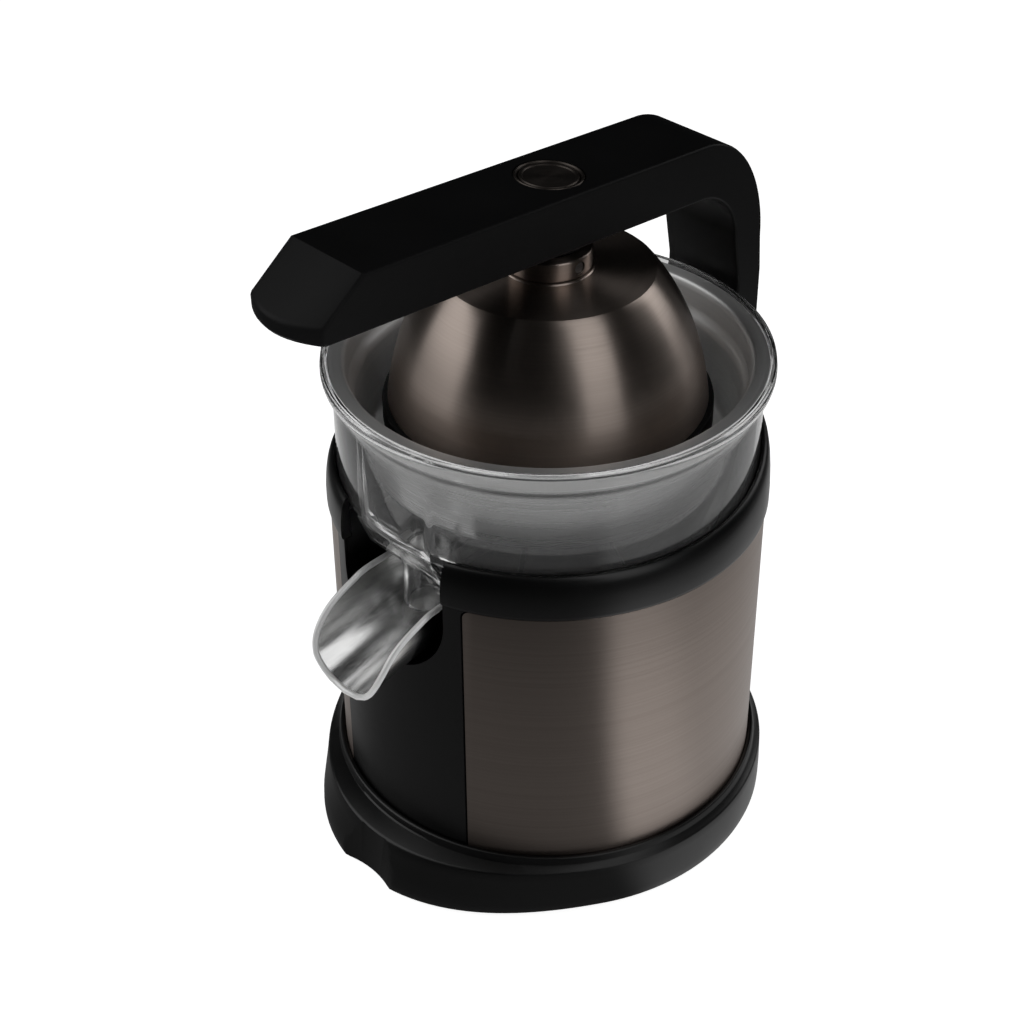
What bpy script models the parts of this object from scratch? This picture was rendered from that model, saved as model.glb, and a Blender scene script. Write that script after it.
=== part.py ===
"""Citrus press juicer with a lever arm, modelled in metres, +Z up, front (spout) towards -Y.

Every piece stands on the floor plane z = 0 around the press axis, the vertical line through
the bowl, cone and dome. That line is set back from the origin by AXIS_Y, so that the origin
is the middle of the footprint and arm together.
"""

import math

import bmesh
import bpy
from mathutils import Matrix, Vector

MM = 0.001
GAP = 0.3 * MM              # clearance between pieces that touch
RUN = 0.4 * MM              # radial clearance of a turning or sliding fit

# ---- driving dimensions -------------------------------------------------------------
WRAP_RADIUS = 80 * MM       # outside of the steel wrap
WRAP_WALL = 0.8 * MM
WRAP_BOTTOM = 24.5 * MM
COLLAR_BOTTOM = 136.5 * MM
COLLAR_TOP = 153.5 * MM
RIM_HEIGHT = 190 * MM       # lower edge of the bowl's rim
HOUSING_WALL = 2.6 * MM
BOWL_WALL = 2.4 * MM
STEEL_SHEET = 0.9 * MM
STRAINER_SLOTS = 10
PRESS_GAP = 7.6 * MM        # between the dome's lip and the strainer wall
DOME_HEIGHT = 62 * MM       # from the dome's lower lip to its top disc
DOME_LIP = RIM_HEIGHT - 24 * MM
CONE_RADIUS = 31.5 * MM
CONE_HEIGHT = 50 * MM
SHAFT_RADIUS = 4 * MM
ARM_WIDTH = 35.2 * MM
ARM_DEPTH = 20.6 * MM
ARM_PITCH = math.radians(3.7)
ARM_CLEAR = 51.5 * MM       # arm's underside above the rim, over the press axis
ARM_OVERHANG = 38 * MM      # how far the nose passes the wrap
PANEL_HALF_ANGLE = math.radians(24)
RECESS_HALF = 26 * MM
TROUGH_HALF = 18.3 * MM
TROUGH_WALL = 1.2 * MM
SPOUT_SLOPE = math.radians(15)
HINGE_OFFSET = 7.4 * MM     # hinge pin behind the wrap
HINGE_DROP = 12 * MM        # hinge pin below the rim
BUTTON_RADIUS = 10.4 * MM
BUTTON_TRAVEL = 2.5 * MM
CONE_TRAVEL = 1.5 * MM
GEAR_MODULE = 1.0 * MM
MOTOR_RADIUS = 24 * MM
FOOT_RADIUS = 7.5 * MM

# ---- places worked out from them ----------------------------------------------------
HOUSING_RADIUS = WRAP_RADIUS - WRAP_WALL - GAP
BOWL_RADIUS = WRAP_RADIUS - 3.4 * MM
COLLAR_BORE = BOWL_RADIUS + RUN
COLLAR_RADIUS = WRAP_RADIUS + 1.1 * MM
RIM_RADIUS = WRAP_RADIUS + 0.2 * MM
DECK_TOP = COLLAR_TOP - 5.6 * MM
BOWL_FLOOR = DECK_TOP + GAP
STRAINER_RADIUS = BOWL_RADIUS - BOWL_WALL - 6.6 * MM
DOME_RADIUS = STRAINER_RADIUS - STEEL_SHEET - PRESS_GAP
DOME_TOP = DOME_LIP + DOME_HEIGHT
DOME_EDGE = DOME_LIP + 12 * MM
NECK_TOP = DOME_TOP + 8.4 * MM
TILT_Z = NECK_TOP - 3.6 * MM
HINGE_Y = WRAP_RADIUS + HINGE_OFFSET
HINGE_Z = RIM_HEIGHT - HINGE_DROP
NOSE_Y = -(WRAP_RADIUS + ARM_OVERHANG)
LEG_HALF = 6.2 * MM
TONGUE_HALF = 8.7 * MM
AXIS_Y = -(NOSE_Y + HINGE_Y + LEG_HALF) / 2
RECESS_Z = COLLAR_BOTTOM - 10 * MM
NOSE_BOTTOM = COLLAR_BOTTOM
OUTLET_Y = -60 * MM * WRAP_RADIUS / (80 * MM)
HUB_RADIUS = SHAFT_RADIUS + 6.4 * MM
CONE_BASE = RIM_HEIGHT - 30 * MM
GEAR_PLATE_Z = 94 * MM
SEGMENTS = 36

PARTS = bpy.data.collections.new("citrus_press")
CUTTERS = bpy.data.collections.new("cutters")
MATERIALS = {}


def clear_scene():
    for old in list(bpy.data.objects):
        bpy.data.objects.remove(old, do_unlink=True)
    bpy.context.scene.collection.children.link(PARTS)
    bpy.context.scene.collection.children.link(CUTTERS)


def material(name, color, roughness, metallic=0.0, alpha=1.0):
    mat = bpy.data.materials.new(name)
    mat.use_nodes = True
    shader = mat.node_tree.nodes["Principled BSDF"]
    shader.inputs["Base Color"].default_value = (*color, 1.0)
    shader.inputs["Roughness"].default_value = roughness
    shader.inputs["Metallic"].default_value = metallic
    shader.inputs["Alpha"].default_value = alpha
    MATERIALS[name] = mat


def make_materials():
    material("satin_black", (0.012, 0.012, 0.013), 0.42)
    material("matte_black", (0.006, 0.006, 0.006), 0.6)
    material("bronze_steel", (0.25, 0.215, 0.195), 0.34, 1.0)
    material("steel", (0.62, 0.62, 0.61), 0.28, 1.0)
    material("polished_steel", (0.75, 0.75, 0.75), 0.12, 1.0)
    material("clear_plastic", (0.85, 0.86, 0.87), 0.06, 0.0, 0.3)
    material("rubber", (0.02, 0.02, 0.02), 0.8)
    material("nylon", (0.75, 0.73, 0.66), 0.5)
    material("brass", (0.7, 0.52, 0.25), 0.35, 1.0)


# ---- small tools --------------------------------------------------------------------
def add_object(name, mesh, mat=None, parent=None, location=(0, 0, 0), hidden=False):
    obj = bpy.data.objects.new(name, mesh)
    (CUTTERS if hidden else PARTS).objects.link(obj)
    if hidden:
        obj.hide_render = True
        obj.display_type = "WIRE"
    if mat:
        mesh.materials.append(MATERIALS[mat])
    obj.parent = parent
    obj.location = location
    return obj


def empty(name, parent=None, location=(0, 0, 0), pitch=0.0):
    obj = bpy.data.objects.new(name, None)
    PARTS.objects.link(obj)
    obj.parent = parent
    obj.location = location
    obj.rotation_euler = (pitch, 0, 0)
    return obj


def finish_mesh(bm, name, smooth=True):
    bmesh.ops.remove_doubles(bm, verts=bm.verts, dist=1e-7)
    bmesh.ops.recalc_face_normals(bm, faces=bm.faces)
    mesh = bpy.data.meshes.new(name)
    bm.to_mesh(mesh)
    bm.free()
    if smooth:
        mesh.shade_smooth()
        mesh.set_sharp_from_angle(angle=math.radians(35))
    return mesh


def turned(name, profile, mat=None, parent=None, location=(0, 0, 0), steps=SEGMENTS, hidden=False):
    """A closed outline of (radius, height) points turned about Z with a Screw modifier."""
    area = sum(a[0] * b[1] - b[0] * a[1] for a, b in zip(profile, profile[1:] + profile[:1]))
    if area > 0:
        profile = profile[::-1]
    mesh = bpy.data.meshes.new(name)
    on_axis = [radius < 1e-9 for radius, height in profile]
    edges = [
        (i, (i + 1) % len(profile))
        for i in range(len(profile))
        if not (on_axis[i] and on_axis[(i + 1) % len(profile)])
    ]
    mesh.from_pydata([(r, 0, z) for r, z in profile], edges, [])
    obj = add_object(name, mesh, mat, parent, location, hidden)
    screw = obj.modifiers.new("turn", "SCREW")
    screw.axis = "Z"
    screw.angle = math.tau
    screw.steps = steps
    screw.render_steps = steps
    screw.use_merge_vertices = True
    screw.merge_threshold = 0.00001
    return obj


def ring(name, inner, outer, bottom, top, mat=None, parent=None, location=(0, 0, 0), steps=SEGMENTS,
         hidden=False):
    """A plain ring, or a disc where the inner radius is 0."""
    outline = [(inner, top), (outer, top), (outer, bottom), (inner, bottom)]
    return turned(name, outline, mat, parent, location, steps, hidden)


def extruded(name, outline, start, end, axis="X", mat=None, parent=None, hidden=False,
             location=(0, 0, 0), smooth=True):
    """An outline pulled along an axis: (y, z) points along X, (x, z) along Y, (x, y) along Z."""
    place = {
        "X": lambda a, b, w: (w, a, b),
        "Y": lambda a, b, w: (a, w, b),
        "Z": lambda a, b, w: (a, b, w),
    }[axis]
    bm = bmesh.new()
    face = bm.faces.new([bm.verts.new(place(a, b, start)) for a, b in outline])
    pulled = bmesh.ops.extrude_face_region(bm, geom=[face])
    verts = [item for item in pulled["geom"] if isinstance(item, bmesh.types.BMVert)]
    bmesh.ops.translate(bm, verts=verts, vec=place(0, 0, end - start))
    return add_object(name, finish_mesh(bm, name, smooth), mat, parent, location, hidden)


def block(name, low, high, mat=None, parent=None, hidden=False):
    """A box between two corners."""
    size = Vector(high) - Vector(low)
    bm = bmesh.new()
    bmesh.ops.create_cube(bm, size=1.0)
    bmesh.ops.scale(bm, verts=bm.verts, vec=size)
    bmesh.ops.translate(bm, verts=bm.verts, vec=(Vector(high) + Vector(low)) / 2)
    return add_object(name, finish_mesh(bm, name), mat, parent, hidden=hidden)


def rod(name, radius, start, end, axis, center, mat=None, parent=None, hidden=False, steps=24):
    """A round bar along X or Z between two values of that axis; center gives the other two."""
    bm = bmesh.new()
    bmesh.ops.create_cone(
        bm, cap_ends=True, segments=steps, radius1=radius, radius2=radius, depth=end - start
    )
    if axis == "X":
        bmesh.ops.rotate(bm, verts=bm.verts, matrix=Matrix.Rotation(math.pi / 2, 3, "Y"))
        middle = ((start + end) / 2, center[0], center[1])
    else:
        middle = (center[0], center[1], (start + end) / 2)
    bmesh.ops.translate(bm, verts=bm.verts, vec=middle)
    return add_object(name, finish_mesh(bm, name), mat, parent, hidden=hidden)


def combine(target, tool, how="DIFFERENCE"):
    boolean = target.modifiers.new(how.lower(), "BOOLEAN")
    boolean.operation = how
    boolean.solver = "EXACT"
    boolean.object = tool


def soften(obj, width, segments=2, angle=40):
    bevel = obj.modifiers.new("soft_edges", "BEVEL")
    bevel.width = width
    bevel.segments = segments
    bevel.limit_method = "ANGLE"
    bevel.angle_limit = math.radians(angle)


def bake_modifiers(obj):
    """Turns the modifiers into the object's own mesh, so that its points can be moved."""
    depsgraph = bpy.context.evaluated_depsgraph_get()
    mesh = bpy.data.meshes.new_from_object(obj.evaluated_get(depsgraph))
    obj.modifiers.clear()
    obj.data = mesh
    return mesh


def arc(center, radius, start, end, count):
    """Points on an arc, in degrees, both ends included."""
    found = []
    for i in range(count + 1):
        angle = math.radians(start + (end - start) * i / count)
        found.append((center[0] + radius * math.cos(angle), center[1] + radius * math.sin(angle)))
    return found


def u_outline(half, bottom_center, top, count=16):
    """A U with a half-round bottom, as (x, z) points, closed across its top."""
    return [(half, top)] + arc((0, bottom_center), half, 0, -180, count) + [(-half, top)]


def smooth_step(value):
    value = max(0.0, min(1.0, value))
    return value * value * (3 - 2 * value)


# ---- base ---------------------------------------------------------------------------
FRONT_SPREAD = math.radians(60)
FOOT_CIRCLE = WRAP_RADIUS - 4.5 * MM
BASE_FLANGE = WRAP_RADIUS - 18 * MM
BASE_FACET = 80 * MM / 44    # radius per facet: facets of the skirt keep their length, and so its bore
SKIRT_BOTTOM = 3 * MM
FLANGE_TOP = 6.3 * MM


def front_weight(x, y):
    """1 at the front of the base, fading to 0 at its sides."""
    angle = abs(math.atan2(x, -y))
    return math.cos(angle / FRONT_SPREAD * math.pi / 2) ** 2 if angle < FRONT_SPREAD else 0.0


def base_ring(root):
    """The skirt: a low lip round the wrap, then a plateau that widens towards the front."""
    bore = WRAP_RADIUS + GAP
    outline = [
        (bore, FLANGE_TOP),
        (bore, 25.4 * MM),
        (bore + 1.0 * MM, 26.2 * MM),
        (bore + 2.4 * MM, 26.4 * MM),
        (bore + 3.7 * MM, 25.4 * MM),
        (bore + 4.3 * MM, 21.6 * MM),
        (bore + 4.7 * MM, 20.9 * MM),
        (bore + 5.0 * MM, 19.4 * MM),
        (bore + 5.3 * MM, 12 * MM),
        (bore + 5.2 * MM, 3.8 * MM),
        (bore + 4.6 * MM, SKIRT_BOTTOM),
        (BASE_FLANGE, SKIRT_BOTTOM),
        (BASE_FLANGE, FLANGE_TOP),
    ]
    pushed = [0, 0, 0, -1.1, -1.4, -1.3, 5.2, 5.8, 8.0, 11.6, 11.6, 0, 0]
    obj = turned("base_ring", outline, "satin_black", root, steps=round(WRAP_RADIUS / BASE_FACET))
    mesh = bake_modifiers(obj)
    for vertex in mesh.vertices:
        radius = math.hypot(vertex.co.x, vertex.co.y)
        nearest = min(
            range(len(outline)),
            key=lambda i: abs(outline[i][0] - radius) + abs(outline[i][1] - vertex.co.z),
        )
        grown = radius + pushed[nearest] * MM * front_weight(vertex.co.x, vertex.co.y)
        vertex.co.x *= grown / radius
        vertex.co.y *= grown / radius
    front = bore + 5.2 * MM + 11.6 * MM
    notch_radius = 37 * MM
    bm = bmesh.new()
    bmesh.ops.create_cone(
        bm, cap_ends=True, segments=48, radius1=notch_radius, radius2=notch_radius + 3.2 * MM, depth=20 * MM
    )
    bmesh.ops.translate(bm, verts=bm.verts, vec=(0, -(front - 3.6 * MM + notch_radius),
                                                 SKIRT_BOTTOM + 8.5 * MM))
    notch = add_object("notch_cutter", finish_mesh(bm, "notch_cutter"), parent=root, hidden=True)
    combine(obj, notch)
    for place in plate_screw_places():
        sink = rod("flange_sink", SCREW_HEAD + GAP, 0, SKIRT_BOTTOM + 1.8 * MM, "Z", place, parent=root,
                   hidden=True,
                   steps=14)
        combine(obj, sink)
        hole = rod("flange_hole", SCREW_SHANK + GAP, 0, 9 * MM, "Z", place, parent=root, hidden=True,
                   steps=14)
        combine(obj, hole)
    for x, y in foot_places():
        pocket = rod("foot_pocket", FOOT_RADIUS + GAP, -1 * MM, 4.3 * MM, "Z", (x, y), parent=root,
                     hidden=True)
        combine(obj, pocket)


def foot_places():
    places = []
    for angle in (47, 133, 227, 313):
        turn = math.radians(angle)
        places.append((FOOT_CIRCLE * math.sin(turn), -FOOT_CIRCLE * math.cos(turn)))
    return places


def feet(root):
    for number, (x, y) in enumerate(foot_places(), 1):
        outline = [(0, 4 * MM), (FOOT_RADIUS, 4 * MM), (FOOT_RADIUS, 0.8 * MM), (FOOT_RADIUS - 0.8 * MM, 0),
                   (0, 0)]
        turned(f"foot_{number}", outline, "rubber", root, (x, y, 0), steps=24)


PLATE_SCREW_CIRCLE = BASE_FLANGE + 5 * MM
SCREW_SHANK = 1.4 * MM
SCREW_HEAD = 3 * MM


def screw(name, parent, place, seat_z, shank, up=True):
    """A pan-head screw whose head bears on seat_z; it points up, or down when up is False."""
    way = 1 if up else -1
    outline = [
        (0, -1.6 * MM), (SCREW_HEAD - 0.6 * MM, -1.6 * MM), (SCREW_HEAD, -0.9 * MM), (SCREW_HEAD, 0),
        (SCREW_SHANK, 0), (SCREW_SHANK, shank), (0, shank),
    ]
    outline = [(r, way * z) for r, z in outline]
    turned(name, outline, "steel", parent, (place[0], place[1], seat_z), steps=14)


def plate_screw_places():
    ways = ((0, -1), (1, 0), (0, 1), (-1, 0))
    return [(PLATE_SCREW_CIRCLE * x, PLATE_SCREW_CIRCLE * y) for x, y in ways]


def base_plate(root):
    """The bottom cover: it lies on the skirt's inner flange and has a boss over each screw."""
    bottom = FLANGE_TOP + GAP
    outline = [
        (0, bottom + 2 * MM), (HOUSING_RADIUS - HOUSING_WALL - 2 * GAP, bottom + 2 * MM),
        (HOUSING_RADIUS - HOUSING_WALL - 2 * GAP, bottom), (0, bottom),
    ]
    plate = turned("base_plate", outline, "matte_black", root, steps=36)
    for number, place in enumerate(plate_screw_places(), 1):
        boss = rod("plate_boss", 4.2 * MM, bottom, bottom + 9 * MM, "Z", place, parent=root, hidden=True,
                   steps=16)
        combine(plate, boss, "UNION")
        hole = rod("plate_hole", SCREW_SHANK + GAP, bottom - 9 * MM, bottom + 7 * MM, "Z", place, parent=root,
                   hidden=True, steps=14)
        combine(plate, hole)
        screw(f"base_screw_{number}", root, place, SKIRT_BOTTOM + 1.8 * MM - GAP, 8 * MM)


# ---- housing ------------------------------------------------------------------------
def housing(root):
    """The inner shell that carries the wrap, the collar, the gear plate and the bowl's deck."""
    outer = HOUSING_RADIUS
    inner = outer - HOUSING_WALL
    step = COLLAR_BORE - GAP
    shelf = GEAR_PLATE_Z - GAP
    outline = [
        (SHAFT_RADIUS + 5.3 * MM, DECK_TOP), (step, DECK_TOP), (step, COLLAR_BOTTOM - GAP),
        (outer, COLLAR_BOTTOM - GAP), (outer, FLANGE_TOP + GAP), (inner, FLANGE_TOP + GAP),
        (inner, shelf - 8 * MM),
        (inner - 5 * MM, shelf - 3 * MM), (inner - 5 * MM, shelf), (inner, shelf),
        (inner, COLLAR_BOTTOM - 6 * MM), (step - 3 * MM, COLLAR_BOTTOM - 2 * MM),
        (step - 3 * MM, DECK_TOP - 3 * MM), (SHAFT_RADIUS + 5.3 * MM, DECK_TOP - 3 * MM),
    ]
    shell = turned("housing", outline, "matte_black", root)
    side = RECESS_HALF + 2.2 * MM
    low = RECESS_Z - RECESS_HALF - 2.2 * MM
    window = block(
        "housing_window", (-side, -WRAP_RADIUS - 9 * MM, low),
        (side, recess_back() + 2.4 * MM, DECK_TOP + 9 * MM),
        parent=root, hidden=True,
    )
    combine(shell, window)
    inlet = rod("gland_hole", 3.9 * MM + GAP, 0, 30 * MM, "Z", (0, 0), parent=root, hidden=True)
    inlet.rotation_euler = (-math.pi / 2, 0, 0)
    inlet.location = (0, inner - 12 * MM, GLAND_Z)
    combine(shell, inlet)


GLAND_Z = 36 * MM


def cord_gland(root):
    """The moulded sleeve through which the mains lead enters at the back."""
    inner = HOUSING_RADIUS - HOUSING_WALL - 2 * GAP
    waist = WRAP_RADIUS + GAP - inner
    flange = 2 * MM
    outline = [
        (2.6 * MM, 0), (5.6 * MM, 0), (5.6 * MM, flange), (3.9 * MM, flange), (3.9 * MM, flange + waist),
        (6.2 * MM, flange + waist), (5.4 * MM, 2 * flange + waist), (4.4 * MM, 2 * flange + waist + 3 * MM),
        (2.6 * MM, 2 * flange + waist + 3 * MM),
    ]
    gland = turned("cord_gland", outline, "rubber", root, (0, inner - flange, GLAND_Z), steps=20)
    gland.rotation_euler = (-math.pi / 2, 0, 0)


def recess_back():
    return OUTLET_Y + 14 * MM


def panel_outline(half, top):
    """The front panel as (x, z) points, its upper corners flaring into the collar."""
    fillet = 3 * MM
    right = arc((half + fillet, top - fillet), fillet, 180, 90, 5)
    left = [(-x, z) for x, z in reversed(right)]
    return [(half, -5 * MM)] + right + [(half + fillet, top + 4 * MM),
                                        (-half - fillet, top + 4 * MM)] + left + [
        (-half, -5 * MM)]


def steel_wrap(root):
    """The sheet round the housing, open at the front where the panel sits."""
    wrap = ring(
        "steel_wrap", WRAP_RADIUS - WRAP_WALL, WRAP_RADIUS, WRAP_BOTTOM, COLLAR_BOTTOM - GAP, "bronze_steel",
        root, steps=72,
    )
    half = WRAP_RADIUS * math.sin(PANEL_HALF_ANGLE) + GAP
    gap = extruded(
        "wrap_opening", panel_outline(half, COLLAR_BOTTOM - GAP), -WRAP_RADIUS - 9 * MM, -WRAP_RADIUS / 2,
        "Y",
        parent=root, hidden=True,
    )
    combine(wrap, gap)
    inlet = rod("wrap_gland_hole", 3.9 * MM + GAP, 0, 30 * MM, "Z", (0, 0), parent=root, hidden=True)
    inlet.rotation_euler = (-math.pi / 2, 0, 0)
    inlet.location = (0, WRAP_RADIUS - 12 * MM, GLAND_Z)
    combine(wrap, inlet)


def collar_rise(y):
    """How much higher the collar's top is towards the hinge."""
    back = max(0.0, y / WRAP_RADIUS + 0.3)
    return 7.6 * MM * back * back


def top_frame(root):
    """The collar round the bowl and the front panel, one moulding, with the spout's window."""
    height = COLLAR_TOP - COLLAR_BOTTOM
    outline = [
        (COLLAR_BORE, COLLAR_TOP - 0.6 * MM),
        (COLLAR_BORE + 0.5 * MM, COLLAR_TOP),
        (COLLAR_BORE + 1.6 * MM, COLLAR_TOP - 0.4 * MM),
        (COLLAR_BORE + 2.8 * MM, COLLAR_TOP - 0.17 * height),
        (COLLAR_RADIUS - 0.35 * MM, COLLAR_TOP - 0.42 * height),
        (COLLAR_RADIUS, COLLAR_TOP - 0.65 * height),
        (COLLAR_RADIUS, COLLAR_BOTTOM + 1.4 * MM),
        (COLLAR_RADIUS - 0.7 * MM, COLLAR_BOTTOM),
        (COLLAR_BORE, COLLAR_BOTTOM),
    ]
    obj = turned("top_frame", outline, "satin_black", root, steps=48)
    mesh = bake_modifiers(obj)
    for vertex in mesh.vertices:
        share = smooth_step((vertex.co.z - COLLAR_BOTTOM - 1.5 * MM) / (height - 2.5 * MM))
        vertex.co.z += share * collar_rise(vertex.co.y)
    half = WRAP_RADIUS * math.sin(PANEL_HALF_ANGLE)
    sheet = ring(
        "panel_sheet", HOUSING_RADIUS + GAP, WRAP_RADIUS + 0.1 * MM, WRAP_BOTTOM, COLLAR_BOTTOM + 2 * MM,
        parent=root, steps=72, hidden=True,
    )
    shape = extruded(
        "panel_shape", panel_outline(half - GAP, COLLAR_BOTTOM), -WRAP_RADIUS - 9 * MM, -WRAP_RADIUS / 2, "Y",
        parent=root, hidden=True,
    )
    combine(sheet, shape, "INTERSECT")
    combine(obj, sheet, "UNION")
    window = extruded(
        "panel_window", u_outline(RECESS_HALF, RECESS_Z, COLLAR_TOP + 9 * MM), -WRAP_RADIUS - 9 * MM,
        -WRAP_RADIUS / 2, "Y", parent=root, hidden=True,
    )
    combine(obj, window)


def spout_recess(root):
    """The tub behind the window, in which the spout is held."""
    wall = 1.8 * MM
    back = recess_back()
    tub = extruded(
        "spout_recess", u_outline(RECESS_HALF + wall, RECESS_Z, DECK_TOP), -WRAP_RADIUS, back + wall, "Y",
        "satin_black", root,
    )
    inside = extruded(
        "recess_inside", u_outline(RECESS_HALF, RECESS_Z, DECK_TOP + 9 * MM), -WRAP_RADIUS - 9 * MM, back,
        "Y",
        parent=root, hidden=True,
    )
    step = COLLAR_BORE - GAP
    limits = [
        (0, RIM_HEIGHT), (step, RIM_HEIGHT), (step, COLLAR_BOTTOM - GAP),
        (HOUSING_RADIUS, COLLAR_BOTTOM - GAP),
        (HOUSING_RADIUS, WRAP_BOTTOM), (0, WRAP_BOTTOM),
    ]
    bounds = turned("recess_bounds", limits, parent=root, hidden=True, steps=72)
    combine(tub, bounds, "INTERSECT")
    combine(tub, inside)
    pin_y, pin_z = spout_pivot()
    holes = rod(
        "recess_pin_holes", 2 * MM + GAP, -40 * MM, 40 * MM, "X", (pin_y, pin_z), parent=root, hidden=True,
        steps=20,
    )
    combine(tub, holes)


# ---- spout --------------------------------------------------------------------------
def spout_pivot():
    return recess_back() - 8 * MM, COLLAR_BOTTOM - 19.5 * MM


def spout(root):
    """A trough of steel sheet that tips up about two pins to stop the drip."""
    back = recess_back() - 3.5 * MM
    tip = -WRAP_RADIUS - 21 * MM
    rest = -WRAP_RADIUS + 2 * MM
    center = RECESS_Z - RECESS_HALF + 1.4 * MM + TROUGH_HALF
    top = COLLAR_BOTTOM + 1.5 * MM
    pivot_y, pivot_z = spout_pivot()
    pivot = empty("spout_pivot", root, (0, pivot_y, pivot_z))

    trough = extruded("spout", u_outline(TROUGH_HALF, center, top, 20), back, tip, "Y", mat="polished_steel")
    hollow = extruded(
        "trough_hollow", u_outline(TROUGH_HALF - TROUGH_WALL, center, top + 9 * MM, 20), back - TROUGH_WALL,
        tip - 9 * MM, "Y", hidden=True,
    )
    for piece in (trough, hollow):
        for vertex in piece.data.vertices:
            vertex.co.z += math.tan(SPOUT_SLOPE) * (vertex.co.y - rest)
    level = COLLAR_BOTTOM - 8.3 * MM
    rim_line = [(back + 9 * MM, level), (-WRAP_RADIUS + 10 * MM, level - 1.0 * MM)]
    rim_line += [(-WRAP_RADIUS, level - 3.6 * MM), (-WRAP_RADIUS - 10 * MM, level - 8.6 * MM)]
    rim_line += [(-WRAP_RADIUS - 16 * MM, level - 15 * MM), (-WRAP_RADIUS - 19.4 * MM, level - 21.5 * MM)]
    rim_line += [(-WRAP_RADIUS - 20 * MM, level - 28 * MM), (-WRAP_RADIUS - 18.6 * MM, level - 50 * MM)]
    cut = rim_line + [(-WRAP_RADIUS - 60 * MM, level - 50 * MM), (-WRAP_RADIUS - 60 * MM, level + 60 * MM),
                      (back + 9 * MM, level + 60 * MM)]
    trim = extruded("spout_trim", cut, -40 * MM, 40 * MM, "X", hidden=True)
    holes = rod("spout_pin_holes", 2 * MM + GAP, -40 * MM, 40 * MM, "X", (pivot_y, pivot_z), hidden=True,
                steps=20)
    for piece in (trough, hollow, trim, holes):
        piece.data.transform(Matrix.Translation((0, -pivot_y, -pivot_z)))
        piece.parent = pivot
    combine(trough, hollow)
    combine(trough, trim)
    combine(trough, holes)
    for side, name in ((-1, "spout_pin_left"), (1, "spout_pin_right")):
        ends = sorted((side * (TROUGH_HALF - 2.4 * MM), side * (RECESS_HALF + 1.8 * MM)))
        rod(name, 2 * MM, ends[0], ends[1], "X", (pivot_y, pivot_z), "steel", root, steps=20)


# ---- bowl, strainer and cone --------------------------------------------------------
def nose_outline(inset, top):
    """Side view of the bowl's outlet chute as (y, z) points."""
    front = OUTLET_Y - 9.2 * MM + inset
    back = OUTLET_Y + 12 * MM - inset
    lean = 5.2 * MM
    return [
        (front, NOSE_BOTTOM + inset),
        (front - lean, BOWL_FLOOR + 1.2 * MM),
        (front - lean, top),
        (back, top),
        (back, NOSE_BOTTOM + inset),
    ]


def juice_bowl(root):
    wall = BOWL_RADIUS
    inside = wall - BOWL_WALL
    rim = RIM_HEIGHT
    floor = BOWL_FLOOR + 2.6 * MM
    bore = SHAFT_RADIUS + 4.0 * MM
    hub_top = CONE_BASE + 8 * MM
    outline = [
        (wall + 1.5 * MM, rim + 5.2 * MM), (RIM_RADIUS - 0.7 * MM, rim + 5.4 * MM),
        (RIM_RADIUS, rim + 4.2 * MM), (RIM_RADIUS + 0.2 * MM, rim + 1.6 * MM), (RIM_RADIUS - 0.3 * MM, rim),
        (wall + 1.6 * MM, rim - 1 * MM), (wall + 0.3 * MM, rim - 3 * MM), (wall, rim - 6.5 * MM),
        (wall, BOWL_FLOOR + 1.6 * MM), (wall - 1.6 * MM, BOWL_FLOOR), (bore, BOWL_FLOOR), (bore, hub_top),
        (HUB_RADIUS, hub_top), (HUB_RADIUS, floor), (inside - 1.6 * MM, floor), (inside, floor + 1.6 * MM),
        (inside, rim - 1.6 * MM), (inside + 0.8 * MM, rim + 2.4 * MM), (wall + 1.5 * MM, rim + 2.6 * MM),
    ]
    bowl = turned("juice_bowl", outline, "clear_plastic", root, steps=40)
    half = 19.5 * MM
    chute = extruded("chute", nose_outline(0, BOWL_FLOOR + 1.5 * MM), -half, half, "X", parent=root,
                     hidden=True)
    tube = ring("outlet", 0, 8.4 * MM, COLLAR_BOTTOM - 20.1 * MM, NOSE_BOTTOM + 1 * MM, parent=root,
                location=(0, OUTLET_Y, 0), steps=24, hidden=True)
    hollow = extruded("chute_hollow", nose_outline(2 * MM, floor + 3 * MM), -half + 2 * MM, half - 2 * MM,
                      "X",
                      parent=root, hidden=True)
    drop = rod("outlet_bore", 6.9 * MM, COLLAR_BOTTOM - 36.5 * MM, BOWL_FLOOR, "Z", (0, OUTLET_Y), parent=root,
               hidden=True, steps=24)
    combine(bowl, chute, "UNION")
    combine(bowl, tube, "UNION")
    combine(bowl, hollow)
    combine(bowl, drop)


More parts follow.
